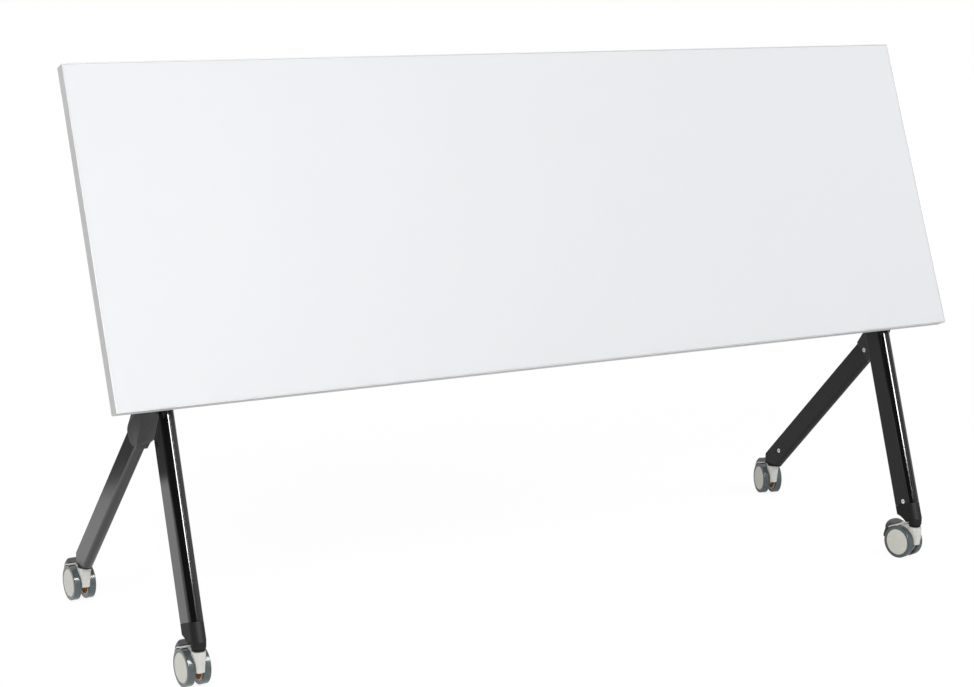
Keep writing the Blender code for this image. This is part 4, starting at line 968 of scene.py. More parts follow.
@dataclass
class LegFrame(Assembly):
    """Both leg frames: main and rear legs, knuckles, feet and their screws."""

    width: float = 0.027
    depth: float = 0.053
    groove_width: float = 0.0012
    groove_depth: float = 0.0009
    head_bottom: float = 0.066
    seam: float = 0.594388
    nose_wall: float = 0.0095
    back_corner: float = 0.003
    hollow: float = 0.011
    hollow_back: float = 0.024
    spigot: float = 0.0003
    rear_width: float = 0.0195
    rear_depth: float = 0.046
    rear_corner: float = 0.0015
    rear_wall: float = 0.0022
    rear_plug: float = 0.0025
    tongue_length: float = 0.094
    tongue_rake: float = math.radians(8.1)
    bore_radius: float = 0.0058
    bore_depth: float = 0.0012
    rear_cut: float = 0.016
    foot_plate: float = 0.0034
    reach: float = 0.084
    proud: float = 0.002
    outstand: float = 0.0026
    crease_round: float = 0.008
    rim_round: float = 0.0012
    boss: float = 0.0132
    seam_height: float = 0.112
    socket_rear: float = 0.017
    sweep: tuple[Flat, ...] = (
        (0.0300, -0.0050), (0.0200, -0.0400), (-0.0100, -0.0440), (-0.0286, -0.0375), (-0.0386, -0.0345),
        (-0.0524, -0.0298), (-0.0620, -0.0265), (-0.0720, -0.0252),
    )
    skirt: tuple[Flat, ...] = (
        (-0.0770, 0.0245), (-0.0868, 0.0240), (-0.0934, 0.0180), (-0.0964, 0.0018), (-0.0915, -0.0110),
        (-0.0830, -0.0195), (-0.0750, -0.0225),
    )
    tongue_front: float = 0.0165
    slope_start: float = 0.02096
    slope: Flat = (-0.2714, 0.9147)

    def main_section(self, groove: bool) -> list[Flat]:
        """The main leg's section.

        Args:
            groove: whether the nose has its lengthwise groove.

        Returns:
            The outline, across and to the back.
        """
        half, back, corner = self.width / 2, self.depth / 2, self.back_corner
        centre = (0.0, self.width / 2 - self.depth / 2)
        if groove:
            lip, soft = self.groove_width / 2, 0.0003
            angle = math.degrees(math.asin((lip + soft) / half))
            floor = -self.depth / 2 + self.groove_depth
            top = centre[1] - math.sqrt(half**2 - (lip + soft) ** 2)
            points = arc(centre, half, 180, 270 - angle, 22)
            points += [(-lip - soft * 0.3, top + soft * 0.3), (-lip, top + soft), (-lip, floor), (lip, floor)]
            points += [(lip, top + soft), (lip + soft * 0.3, top + soft * 0.3)]
            points += arc(centre, half, 270 + angle, 360, 22)
        else:
            points = arc(centre, half, 180, 360, 48)
        points += arc((half - corner, back - corner), corner, 0, 90, 6)
        return points + arc((corner - half, back - corner), corner, 90, 180, 6)

    def rear_section(self, inset: float = 0.0) -> list[Flat]:
        """The rear leg's section, round below."""
        half, corner = self.rear_width / 2 - inset, self.rear_corner
        under, top = inset - self.rear_depth / 2, self.rear_depth / 2 - inset
        points = arc((0, under + half), half, 180, 360, 32)
        points += arc((half - corner, top - corner), corner, 0, 90, 4)
        return points + arc((corner - half, top - corner), corner, 90, 180, 4)

    def spigot_section(self, steps: int = 6) -> list[Flat]:
        """What fits into the main leg's hollow."""
        half, back = self.hollow - self.spigot, self.hollow_back - self.spigot
        front = self.nose_wall - self.depth / 2 + self.spigot
        return rounded(-half, half, front, back, self.back_corner, steps)

    def main_legs(self) -> None:
        """The grooved extrusions, with the counterbore of the foot's screw on the inner side."""
        low, high = SEAT_GAP - self.seam, -self.head_bottom - SEAT_GAP
        leg = Bench.plate("leg", self.main_section(True), low, high, Plane.PLAN)
        Bench.bevel(leg, 0.0003, 1, Bench.square_to(2, 1.2))
        bore = rounded(-self.hollow, self.hollow, self.nose_wall - self.depth / 2, self.hollow_back,
                       self.back_corner)
        Bench.carve(leg, Bench.plate("hollow", bore, low - 0.01, high + 0.01, Plane.PLAN))
        for side, sign in SIDES.items():
            piece = Bench.copy(leg, "leg")
            spot = self.along(SCREW_SPOTS["front_foot"], -MAIN_LEAN, (PIVOT.y, PIVOT.z))
            self.counterbore(piece, -sign * self.width / 2, spot, -sign)
            Bench.smooth(piece)
            Bench.settle(piece, space((sign * MAIN_X, PIVOT.y, PIVOT.z), -MAIN_LEAN))
            self.fit(piece, f"main_leg_{side}_grooved", "frame", "black", [self.palette.main_coat],
                     f"main_leg_{side}")
        Bench.drop(leg)

    @staticmethod
    def along(spot: Flat, lean: float, origin: Flat) -> Flat:
        """A place in the table's side view, in the space of a leg.

        Args:
            spot: the place, to the back and up.
            lean: the leg's turn about X.
            origin: the leg's own origin.

        Returns:
            The place across and along the leg.
        """
        back, up = spot[0] - origin[0], spot[1] - origin[1]
        c, s = math.cos(lean), math.sin(lean)
        return back * c + up * s, up * c - back * s

    def counterbore(self, piece: Object, face: float, place: Flat, outward: int) -> None:
        """Sink a screw's counterbore into a flat side.

        Args:
            piece: the piece.
            face: the X of the flat side.
            place: where the screw is, across and along the piece.
            outward: the sign of the side's outward X.
        """
        drill = Bench.bar("drill", self.bore_radius, -self.bore_depth, 0.002)
        turn = Matrix.Rotation(outward * math.pi / 2, 4, "Y")
        Bench.settle(drill, Matrix.Translation((face, *place)) @ turn)
        Bench.carve(piece, drill)

    @property
    def rear_base(self) -> float:
        """Where a rear leg's axis meets the floor, to the back."""
        return REAR_STEM_Y + (REAR_SETBACK + CASTOR_HEIGHT * math.tan(REAR_LEAN))

    def rear_place(self, sign: int) -> Matrix:
        """The space of a rear leg's foot."""
        return space((sign * REAR_X, self.rear_base, 0), REAR_LEAN)

    def cut_foot(self, piece: Object, bottom: float) -> None:
        """Cut a rear leg's foot level at a height and upright behind the stem, in the table's space."""
        Bench.slice(piece, (0, 0, bottom), (0, 0, -1))
        Bench.slice(piece, (0, REAR_STEM_Y + self.rear_cut, 0), (0, 1, 0))

    def rear_legs(self) -> None:
        """The slim extrusions, cut square at the knuckle, upright and level at the foot."""
        top = MEETING.z / math.cos(REAR_LEAN) - self.reach - SEAT_GAP
        for side, sign in SIDES.items():
            leg = Bench.plate("leg", self.rear_section(), 0, top, Plane.PLAN)
            bore = self.rear_section(self.rear_wall)
            Bench.carve(leg, Bench.plate("hollow", bore, -0.01, top + 0.01, Plane.PLAN))
            spot = self.along(SCREW_SPOTS["rear_foot"], REAR_LEAN, (self.rear_base, 0))
            self.counterbore(leg, -sign * self.rear_width / 2, spot, -sign)
            Bench.settle(leg, self.rear_place(sign))
            self.cut_foot(leg, CASTOR_HEIGHT + self.foot_plate + SEAT_GAP)
            Bench.soften(leg, 0.0003, 1, 50)
            self.fit(leg, f"rear_leg_{side}_slim", "frame", "black", [self.palette.rear_coat],
                     f"rear_leg_{side}")

    def rear_sockets(self) -> None:
        """The plate that closes each rear leg's foot, with the plug above it."""
        for side, sign in SIDES.items():
            low, high = 0.02, 0.153
            body = Bench.plate("plug", self.rear_section(self.rear_plug), low, high, Plane.PLAN)
            plate = Bench.plate("plate", self.rear_section(), low, high, Plane.PLAN)
            for piece, bottom in ((body, CASTOR_HEIGHT + self.foot_plate - 0.001), (plate, CASTOR_HEIGHT)):
                Bench.settle(piece, self.rear_place(sign))
                self.cut_foot(piece, bottom)
            Bench.slice(plate, (0, 0, CASTOR_HEIGHT + self.foot_plate), (0, 0, 1))
            Bench.fuse(plate, body)
            Bench.soften(plate, 0.0005, 2, 50)
            self.fit(plate, f"rear_socket_{side}_plugged", "frame", "socket", [self.palette.socket],
                     f"rear_socket_{side}")

    def knuckle_outline(self) -> list[Flat]:
        """The knuckle from the side, across and along the rear leg from where the legs' axes meet."""
        edge = self.rear_depth / 2 + self.proud
        length, rake = self.tongue_length, self.tongue_rake
        tongue = (-self.reach + length * math.cos(rake), edge + length * math.sin(rake))
        swept = curve([*self.sweep[2:], (-self.reach, -edge)], 7)
        return [(y, x) for x, y in [(-self.reach, edge), tongue, *self.sweep[:2], *swept]]

    def knuckle_skirt(self, outer: float) -> Object:
        """The knuckle's thin rounded end, which laps over the rear leg's outer side."""
        end = [(-0.070, self.skirt[0][1]), *curve(self.skirt, 7), (-0.070, self.skirt[-1][1])]
        lap = self.rear_width / 2 + SEAT_GAP
        skirt = Bench.plate("skirt", [(y, x) for x, y in end], lap, outer, Plane.SIDE)
        Bench.bevel(skirt, 0.0009, 3, lambda edge: all(v.co.x > outer - NEAR for v in edge.verts)
                    and edge.calc_face_angle(0) > 1.2 and max(v.co.z for v in edge.verts) < -0.0745)
        return skirt

    def knuckles(self) -> None:
        """The die-cast knuckles: a cap on the rear leg that slopes down onto the main leg."""
        inner, outer = -self.rear_width / 2, self.rear_width / 2 + self.outstand
        casting = Bench.plate("casting", self.knuckle_outline(), inner, outer, Plane.SIDE)
        side = self.width / 2 + SEAT_GAP - REAR_OUTSET
        along, across = self.slope
        away = Vector((1.0, -across, -along)).normalized()
        start = Vector((side + self.slope_start, 0, 0))
        Bench.slice(casting, start, away)
        ahead = Matrix.Rotation(-MAIN_LEAN - REAR_LEAN, 4, "X") @ Vector((0, -1, 0))
        Bench.slice(casting, ahead * self.tongue_front, ahead)

        def crease(edge: Any) -> bool:
            """Whether an edge is the fold from the flat outer face to the slope over the main leg."""
            flat = all(v.co.x > outer - NEAR for v in edge.verts)
            return flat and 0.4 < edge.calc_face_angle(0) < 1.2 and edge.calc_length() > 0.01

        def rim(edge: Any) -> bool:
            """Whether an edge runs round the outer face or the slope, but not at the rear leg's end."""
            middle = (edge.verts[0].co + edge.verts[1].co) / 2
            out = any(face.normal.dot(away) > 0.99 or face.normal.x > 0.99 for face in edge.link_faces)
            return out and edge.calc_face_angle(0) > 1.25 and middle.z > 0.0005 - self.reach

        Bench.bevel(casting, self.crease_round, 8, crease)
        Bench.bevel(casting, self.rim_round, 4, rim)
        Bench.fuse(casting, self.knuckle_skirt(outer))
        plug_section = self.rear_section(self.rear_plug)
        plug = Bench.plate("plug", plug_section, -self.reach - 0.03, 0.001 - self.reach, Plane.PLAN)
        saddle = Bench.box("saddle", (-0.2, -0.2, -0.2), (side, self.depth / 2 + SEAT_GAP, 0.2))
        Bench.settle(saddle, Matrix.Rotation(-MAIN_LEAN - REAR_LEAN, 4, "X"))
        Bench.fuse(casting, plug)
        Bench.carve(casting, saddle)
        spot = self.along(SCREW_SPOTS["knuckle"], REAR_LEAN, (MEETING.y, MEETING.z))
        self.counterbore(casting, inner, spot, -1)
        Bench.soften(casting, 0.0005, 2, 50)
        self.pair(casting, lambda sign: space((sign * REAR_X, MEETING.y, MEETING.z), REAR_LEAN),
                  "knuckle_{}_cast", "frame", "cast", [self.palette.knuckle], mirrored=True)

    def front_sockets(self) -> None:
        """The moulded feet: the leg's form above, an upright boss with a rounded end below."""
        setback = FRONT_SETBACK - CASTOR_HEIGHT * math.tan(MAIN_LEAN)
        lean = space((0, setback, 0), -MAIN_LEAN)
        seam = self.seam_height / math.cos(MAIN_LEAN)
        body = Bench.plate("body", self.main_section(False), seam - 0.1, seam, Plane.PLAN)
        Bench.settle(body, lean)
        heel = lean @ Vector((0, self.depth / 2, seam - self.socket_rear))
        toe = (self.boss - 0.001, CASTOR_HEIGHT + 0.0049)
        middle = ((toe[0] + heel.y) / 2, (toe[1] + heel.z) / 2 + 0.0022)
        rise = (heel.z - middle[1]) / (heel.y - middle[0])
        overhang = self.boss + FRONT_SETBACK - self.depth / 2 / math.cos(MAIN_LEAN)
        blend = CASTOR_HEIGHT - overhang / math.tan(MAIN_LEAN)
        side = [(-0.1, blend - 0.001), (0.0, blend - 0.001), *curve([toe, middle, (heel.y, heel.z)], 8)]
        side += [(0.1, heel.z + rise * (0.1 - heel.y)), (0.1, 0.25), (-0.1, 0.25)]
        Bench.combine(body, "INTERSECT", [Bench.plate("side", side, -0.05, 0.05, Plane.SIDE)])
        boss = [(0, blend - 0.0005), (self.boss, blend - 0.0005)]
        boss += arc((self.boss - 0.0045, CASTOR_HEIGHT + 0.0045), 0.0045, 0, -90, 8) + [(0, CASTOR_HEIGHT)]
        plug = Bench.plate("plug", self.spigot_section(), seam - 0.001, seam + 0.03, Plane.PLAN)
        Bench.settle(plug, lean)
        bore = Bench.bar("bore", 0.0053, 0.06, 0.105)
        Bench.fuse(body, Bench.lathe("boss", boss, 64), plug)
        Bench.carve(body, bore)
        Bench.soften(body, 0.0006, 3, 40)
        self.pair(body, lambda sign: space((sign * MAIN_X, FRONT_STEM_Y, 0)), "front_socket_{}_moulded",
                  "frame", "socket", [self.palette.socket])

    def screws(self) -> None:
        """The bright screws in their counterbores on the inner sides, each with a near-black ring of painted
        shade in the gap round its head.
        """
        screw = Fastener(self.wardrobe, radius=0.0048, recess=0.0018).head()
        # A thin near-black ring of painted shade lies on the floor of each counterbore round the screw's head
        inner, outer, thick = 0.0049, 0.0057, 0.0004
        profile = [(inner, 0), (outer, 0), (outer, thick), (inner, thick), (inner, 0)]
        ring = Bench.smooth(Bench.lathe("ring", profile, 32))
        faces = {"front_foot": MAIN_X - self.width / 2, "rear_foot": REAR_X - self.rear_width / 2,
                 "knuckle": REAR_X - self.rear_width / 2}
        sunk = self.bore_depth - 0.0001
        for side, sign in SIDES.items():
            for spot, (y, z) in SCREW_SPOTS.items():
                turn = Matrix.Rotation(-sign * math.pi / 2, 4, "Y")
                place = Matrix.Translation((sign * (faces[spot] + sunk), y, z)) @ turn
                head = Bench.settle(Bench.copy(screw, "screw"), place)
                # The head's second finish is painted shade on the floor of its hexagon
                self.fit(head, f"{spot}_screw_{side}", "frame", "steel",
                         [self.palette.bright, self.palette.recess])
                painted_shade_ring = Bench.settle(Bench.copy(ring, "ring"), place)
                self.fit(painted_shade_ring, f"{spot}_washer_{side}", "frame", "socket", [self.palette.recess])
        Bench.drop(screw, ring)

    def build(self) -> None:
        """Build both leg frames."""
        self.main_legs()
        self.rear_legs()
        self.front_sockets()
        self.rear_sockets()
        self.knuckles()
        self.screws()


# The heads and the release


@dataclass
class Heads(Assembly):
    """The forks on the main legs with their pins, clips, bolts, levers and the rod."""

    width: float = 0.034
    disc: float = 0.032
    shoulder: float = 0.036
    bottom: float = 0.066
    depth: float = 0.053
    slot: float = 0.013
    slot_radius: float = 0.0315
    slot_drop: float = 0.0268
    bore: float = 0.0043
    pivot: float = 0.0063
    rod_back: float = 0.034
    rod_drop: float = 0.050
    lug: float = 0.009
    travel: float = 0.0058
    lever: float = 0.012

    def leg(self, sign: int) -> Matrix:
        """The space of a main leg, from the pivot."""
        return space((sign * MAIN_X, PIVOT.y, PIVOT.z), -MAIN_LEAN)

    def across(self, name: str, radius: float, back: float = 0.0, up: float = 0.0) -> Object:
        """A round cutter across the head."""
        cutter = Bench.bar(name, radius, -0.03, 0.03, 36)
        return Bench.settle(cutter, Matrix.Translation((0, back, up)) @ Matrix.Rotation(math.pi / 2, 4, "Y"))

    def fork(self) -> Object:
        """The forked head in its own space."""
        half = self.depth / 2
        side = math.degrees(math.acos(half / self.disc))
        lug = (self.rod_back, -self.rod_drop)
        outline = [(-half, -self.shoulder), *arc((0, 0), self.disc, 180 + side, -side, 60)]
        outline = [(max(back, -half), up) for back, up in [*outline, (half, -self.shoulder)]]
        head = Bench.plate("head", outline, -self.width / 2, self.width / 2, Plane.SIDE)
        Bench.bevel(head, 0.0018, 4, Bench.square_to(0, 0.7))
        legs = LegFrame(self.wardrobe)
        neck = Bench.plate("neck", legs.main_section(True), -self.bottom, 0.002 - self.shoulder, Plane.PLAN)
        root = half - 0.004
        hinge = [(root, lug[1] + self.lug), *arc(lug, self.lug, 90, -90, 18), (root, lug[1] - self.lug)]
        Bench.fuse(head, neck, Bench.plate("lug", hinge, -0.0135, 0.0135, Plane.SIDE))
        radius, drop, clear = self.slot_radius, self.slot_drop, 0.05
        angle = math.degrees(math.asin(drop / radius))
        edge = -radius * math.sin(math.radians(angle)) - 0.0005
        gap = [(-clear, edge), *arc((0, 0), radius, 180 + angle, 360 - angle, 28), (clear, edge)]
        gap += [(clear, clear), (-clear, clear)]
        cutters = [
            Bench.plate("slot", gap, -self.slot / 2, self.slot / 2, Plane.SIDE),
            Bench.box("window", (-self.slot / 2, 0.0005, -0.061), (self.slot / 2, 0.06, -0.039)),
            Bench.bar("bore", self.bore, -0.16, -0.02, 36),
            self.across("pivot", self.pivot),
            self.across("rod", self.bore, *lug),
        ]
        spigot = Bench.plate("spigot", legs.spigot_section(4), -0.125, 0.001 - self.bottom, Plane.PLAN)
        Bench.fuse(head, spigot)
        Bench.carve(head, *cutters)
        Bench.soften(head, 0.0003, 2, 40)
        for face in head.data.polygons:
            low, high = 0.0002 - self.bottom, -self.shoulder
            face.material_index = int(low < face.center.z < high and face.center.y < half - 0.001)
        return head

    def forks(self) -> None:
        """A fork on each main leg."""
        self.pair(self.fork(), self.leg, "leg_head_{}_forked", "frame", "cast",
                  [self.palette.casting, self.palette.main_coat], mirrored=True)

    def pins(self) -> None:
        """The pivot pins with their domed heads, and the clips in their grooves."""
        outer = self.width / 2 + SEAT_GAP
        groove, deep = -outer - 0.0005, 0.005
        shank, head = 0.006, 0.009
        profile = [(0, outer + 0.003), (0.0055, outer + 0.0029), (0.0078, outer + 0.0023),
                   (head, outer + 0.0012), (head, outer), (shank, outer), (shank, groove), (deep, groove),
                   (deep, groove - 0.0018), (shank, groove - 0.0018), (shank, -outer - 0.004),
                   (deep, -outer - 0.005), (0, -outer - 0.005)]
        pin = Bench.lathe("pin", profile, 48)
        Bench.settle(pin, Matrix.Rotation(math.pi / 2, 4, "Y"))
        Bench.smooth(pin)
        ring = arc((0, 0), 0.0085, -50, 230, 40) + arc((0, 0), 0.0053, 230, -50, 40)
        clip = Bench.plate("clip", ring, groove - 0.0015, groove - 0.0003, Plane.SIDE)
        Bench.soften(clip, 0.0002, 2, 50)
        for side, sign in SIDES.items():
            for master, node, finish in ((pin, f"pivot_pin_{side}", self.palette.turned),
                                         (clip, f"pivot_clip_{side}", self.palette.steel)):
                piece = Bench.settle(Bench.copy(master, "half"), self.leg(sign), mirrored=sign < 0)
                self.fit(piece, f"{node}_turned", "frame", "steel", [finish], node)
        Bench.drop(pin, clip)

    def bolts(self) -> None:
        """The latch bolts, drawn clear of the brackets, with the cross slot for the lever's nose."""
        tip = -0.030 - 0.0008
        profile = [(0, tip), (0.0030, tip), (0.0037, tip - 0.0004), (0.004, tip - 0.0011),
                   (0.004, tip - 0.0496), (0.0036, tip - 0.05), (0, tip - 0.05)]
        bolt = Bench.lathe("bolt", profile, 40)
        middle = -self.rod_drop - self.travel
        notch = Bench.box("slot", (-0.01, 0.0005, middle - 0.0045), (0.01, 0.01, middle + 0.0045))
        Bench.carve(bolt, notch)
        Bench.soften(bolt, 0.0002, 1, 50)
        self.pair(bolt, self.leg, "latch_bolt_{}_turned", "latch_{}", "steel", [self.palette.turned],
                  mirrored=True)

    def lever_piece(self) -> Object:
        """A lever in the space of the rod: nose, hub and ribbed finger paddle."""
        half = 0.003
        nose = 0.002 - self.rod_back + half
        side = math.degrees(math.asin(half / 0.007))
        outline = arc((nose, 0), half, 90, 270, 14) + arc((0, 0), 0.007, 180 + side, 360 - side, 24)
        outline += [(0.024, -half), (0.024, half)] + arc((0, 0), 0.007, side, 180 - side, 24)
        lever = Bench.plate("lever", outline, -self.lever / 2, self.lever / 2, Plane.SIDE)
        plan = arc((-0.0015, 0.0465), 0.0135, 180, 90, 12) + arc((0.0015, 0.0465), 0.0135, 90, 0, 12)
        plan += [(0.015, 0.014), (-0.015, 0.014)]
        paddle = Bench.plate("paddle", plan, -0.0025, 0.0025, Plane.PLAN)
        Bench.bevel(paddle, 0.0018, 4, Bench.square_to(2, 0.7))
        grips = [Bench.box("grip", (-0.010, y, -0.0033), (0.010, y + 0.0012, -0.0020))
                 for y in (0.030, 0.036, 0.042, 0.048)]
        Bench.fuse(lever, paddle, *grips)
        Bench.carve(lever, self.across("bore", self.bore))
        return Bench.soften(lever, 0.0004, 2, 45)

    def release(self) -> None:
        """The rod across the table and the lever at each of its ends, turned to draw the bolts."""
        end = MAIN_X + self.width / 2 + 0.004
        rod = Bench.lathe("rod", [(0, -end), (0.0034, -end), (0.004, 0.0006 - end), (0.004, end - 0.0006),
                                  (0.0034, end), (0, end)], 36)
        place = self.leg(0) @ space((0, self.rod_back, -self.rod_drop))
        Bench.settle(rod, place @ Matrix.Rotation(math.pi / 2, 4, "Y"))
        Bench.smooth(rod)
        self.fit(rod, "release_rod_drawn", "release", "steel", [self.palette.turned], "release_rod")
        turn = self.travel / self.rod_back
        self.pair(self.lever_piece(), lambda sign: place @ space((sign * MAIN_X, 0, 0), turn),
                  "release_lever_{}_ribbed", "release", "plastic", [self.palette.lever])

    def build(self) -> None:
        """Build the heads and what they hold."""
        self.forks()
        self.pins()
        self.bolts()
        self.release()


@dataclass
class CrossBeam(Assembly):
    """The rounded tube between the main legs and the flange that is screwed on each."""

    drop: float = 0.110
    height: float = 0.050
    depth: float = 0.025
    wall: float = 0.002
    flange_height: float = 0.080
    flange_depth: float = 0.044
    flange_thickness: float = 0.006
    screw_rise: float = 0.033
    bead_width: float = 0.0025

    def build(self) -> None:
        """The tube, its flanges with a weld bead round the tube, and their screws."""
        face = MAIN_X - 0.0135 - SEAT_GAP
        tube = rounded(-self.depth / 2, self.depth / 2, -self.height / 2, self.height / 2, 0.004, 8)
        reach = face - self.flange_thickness / 2
        beam = Bench.plate("beam", tube, -reach, reach, Plane.SIDE)
        plate = rounded(-self.flange_depth / 2, self.flange_depth / 2, -self.flange_height / 2,
                        self.flange_height / 2, 0.006, 8)
        for sign in (-1, 1):
            ends = sorted((sign * face, sign * (face - self.flange_thickness)))
            flange = Bench.plate("flange", plate, *ends, Plane.SIDE)
            Bench.soften(flange, 0.0006, 2)
            inner = sign * (face - self.flange_thickness)
            Bench.fuse(beam, flange, self.bead(inner, sign))
        Bench.smooth(beam)
        bore = rounded(self.wall - self.depth / 2, self.depth / 2 - self.wall, self.wall - self.height / 2,
                       self.height / 2 - self.wall, 0.002, 8)
        Bench.carve(beam, Bench.plate("bore", bore, -face - 0.01, face + 0.01, Plane.SIDE))
        lean = space(PIVOT, -MAIN_LEAN) @ space((0, 0, -self.drop))
        Bench.settle(beam, lean)
        self.fit(beam, "cross_beam_welded", "frame", "beam", [self.palette.beam_coat], "cross_beam")
        screw = Fastener(self.wardrobe, radius=0.0050, height=0.0030, recess=0.0023).head()
        for side, sign in SIDES.items():
            for number, rise in enumerate((self.screw_rise, -self.screw_rise), 1):
                inner = Matrix.Translation((sign * (face - self.flange_thickness), 0, rise))
                place = lean @ inner @ Matrix.Rotation(-sign * math.pi / 2, 4, "Y")
                made = Bench.settle(Bench.copy(screw, "screw"), place)
                name = f"flange_screw_{side}_{number}"
                # The second finish is painted shade on the floor of each screw's hexagon
                self.fit(made, name, "frame", "steel", [self.palette.steel, self.palette.recess])
        Bench.drop(screw)

    def bead(self, inner: float, sign: int) -> Object:
        """A fillet of weld round the tube where it meets a flange.

        Args:
            inner: the X of the flange's inner face.
            sign: the side of the table.

        Returns:
            The bead.
        """
        width = self.bead_width
        grown = rounded(-self.depth / 2 - width, self.depth / 2 + width, -self.height / 2 - width,
                        self.height / 2 + width, 0.0065, 8)
        toe = inner - sign * width
        bead = Bench.plate("bead", grown, *sorted((inner + sign * 0.001, toe)), Plane.SIDE)
        Bench.bevel(bead, 0.0022, 3, lambda edge: edge.calc_face_angle(0) > 0.7
                    and all(abs(v.co.x - toe) < NEAR for v in edge.verts))
        return bead


# The castors


@dataclass
class Castor(Assembly):
    """A twin-wheel castor, drawn with X from the stem to the axle, Y along the axle and Z up."""

    wheel: float = 0.0331
    wheel_width: float = 0.0138
    spread: float = 0.0143
    tread: float = 0.0061
    trail: float = 0.0265
    axle: float = 0.004
    collar: float = 0.012
    collar_thickness: float = 0.0015
    neck: float = 0.0125
    housing_width: float = 0.0138
    housing_top: float = 0.0700
    hood_width: float = 0.042
    hood_gap: float = 0.0013
    hood_thickness: float = 0.0018
    hood_span: Flat = (48.0, 88.0)
    wall_end: float = 0.0333
    pedal_width: float = 0.034
    pedal_gap: float = 0.0006
    pedal_shell: float = 0.0038
    pedal_crest: float = 0.0100
    pedal_lobe: float = 0.62
    pedal_crown: float = 2.4
    pedal_front: float = 66.0
    pedal_tip: float = 3.0
    pivot_radius: float = 0.030
    pivot_angle: float = 37.0
    headings: tuple[tuple[str, float, float, float], ...] = (
        ("front_left", -MAIN_X, FRONT_STEM_Y, 91.0),
        ("front_right", MAIN_X, FRONT_STEM_Y, 100.0),
        ("rear_left", -REAR_X, REAR_STEM_Y, 91.0),
        ("rear_right", REAR_X, REAR_STEM_Y, 74.0),
    )

    @property
    def centre(self) -> Flat:
        """The axle in the castor's side view."""
        return self.trail, self.wheel

    @property
    def hub(self) -> Matrix:
        """The space of the axle's middle."""
        return Matrix.Translation((self.trail, 0, self.wheel))

    @property
    def pedal_pivot(self) -> Flat:
        """The pedal's pin in the castor's side view."""
        return polar(self.centre, self.pivot_radius, self.pivot_angle)

    def stem(self) -> Object:
        """The stem's shank, collar and pin, with the collar painted dark as painted shade where it sits sunk
        between the socket and the housing.
        """
        top, seat = CASTOR_HEIGHT + 0.030, CASTOR_HEIGHT - SEAT_GAP
        low = seat - self.collar_thickness
        edge = 0.0003
        tip, shank = 0.004, 0.005
        profile = [(0, top), (tip, top), (shank, top - 0.001), (shank, seat), (self.collar - edge, seat),
                   (self.collar, seat - edge), (self.collar, low + edge), (self.collar - edge, low),
                   (shank, low), (shank, low - 0.029), (tip, low - 0.030), (0, low - 0.030)]
        stem = Bench.lathe("stem", profile, 48)
        # The collar's faces take the second slot, painted shade
        for face in stem.data.polygons:
            face.material_index = int(low - edge < face.center.z < seat + edge)
        return Bench.smooth(stem)

    def side(self) -> list[Flat]:
        """The housing's middle wall from the side."""
        hood = self.wheel + self.hood_gap + self.hood_thickness / 2
        points = [(-0.0125, self.housing_top), (0.0125, self.housing_top)]
        points += arc(self.centre, hood, 100, 24, 40)
        points += arc(self.centre, 0.0135, -20, -180, 32)
        front = [(-0.0070, self.wall_end), (-0.0094, self.wall_end + 0.0007), (-0.0110, 0.0400)]
        return points + curve([*front, (-0.0122, 0.0500), (-0.0125, 0.0580)], 6)

    def shield(self) -> Object:
        """The front of the housing: wide at the collar, drawn in between the wheels below."""
        top = self.housing_top
        right = curve([(self.neck, top - 0.0005), (self.neck - 0.0004, top - 0.0030), (0.0104, 0.0600),
                       (0.0086, 0.0500), (0.0076, 0.0410), (0.0072, self.wall_end)], 6)
        outline = [*right, *[(-y, z) for y, z in reversed(right)]]
        shield = Bench.plate("shield", outline, -self.neck, self.neck, Plane.SIDE)
        round_plan = Bench.bar("round_plan", self.neck, 0.02, 0.08, 64)
        room = arc(self.centre, self.wheel + self.hood_gap, 0, 354, 59)
        Bench.combine(shield, "INTERSECT", [round_plan])
        return Bench.carve(shield, Bench.plate("room", room, -0.03, 0.03, Plane.CASTOR))

    def housing(self) -> Object:
        """The housing: wall, shield, hood, and the slot with the pin that the pedal snaps onto."""
        wide = self.housing_width / 2
        housing = Bench.plate("housing", self.side(), -wide, wide, Plane.CASTOR)
        low = self.wheel + self.hood_gap
        rear, front = self.hood_span
        hood = arc(self.centre, low + self.hood_thickness, rear, front, 30)
        hood += arc(self.centre, low, front, rear, 30)
        half = self.hood_width / 2
        Bench.fuse(housing, Bench.plate("hood", hood, -half, half, Plane.CASTOR), self.shield())
        slot = arc(self.centre, 0.0235, -3, 47, 20) + arc(self.centre, self.wheel + 0.01, 47, -3, 20)
        bore = Bench.bar("bore", 0.0055, 0.0385, 0.08)
        axle = arc(self.centre, self.axle + SEAT_GAP, 0, 348, 29)
        Bench.carve(housing, bore, Bench.plate("axle", axle, -0.02, 0.02, Plane.CASTOR),
                    Bench.plate("slot", slot, -0.0023, 0.0023, Plane.CASTOR))
        Bench.soften(housing, 0.0005, 2, 40)
        pin = Bench.plate("pin", arc(self.pedal_pivot, 0.0017, 0, 340, 17), -0.0033, 0.0033, Plane.CASTOR)
        return Bench.smooth(Bench.fuse(housing, pin))

    def core(self) -> Object:
        """A wheel's core, outer side up: a flat cap in a bevelled rim, and a sunk brown web inside."""
        rim, half = self.wheel - self.tread - SEAT_GAP, self.wheel_width / 2
        face, back = half + 0.0006, -half
        web, bore = back + 0.0011, 0.0045
        profile = [(0, face), (rim - 0.0016, face), (rim - 0.0013, face - 0.0001),
                   (rim - 0.0004, half - 0.0003), (rim, half - 0.0008), (rim, back + 0.0004),
                   (rim - 0.0004, back), (rim - 0.0028, back), (rim - 0.0033, web), (0.0088, web),
                   (0.0084, back), (bore, back), (bore, half - 0.003), (0, half - 0.003)]
        core = Bench.lathe("core", profile, 72)
        for patch in core.data.polygons:
            level, out = patch.center.z, patch.center.xy.length
            patch.material_index = int(abs(level - web) < 0.0002 and out < rim - 0.0030)
        return Bench.smooth(core)

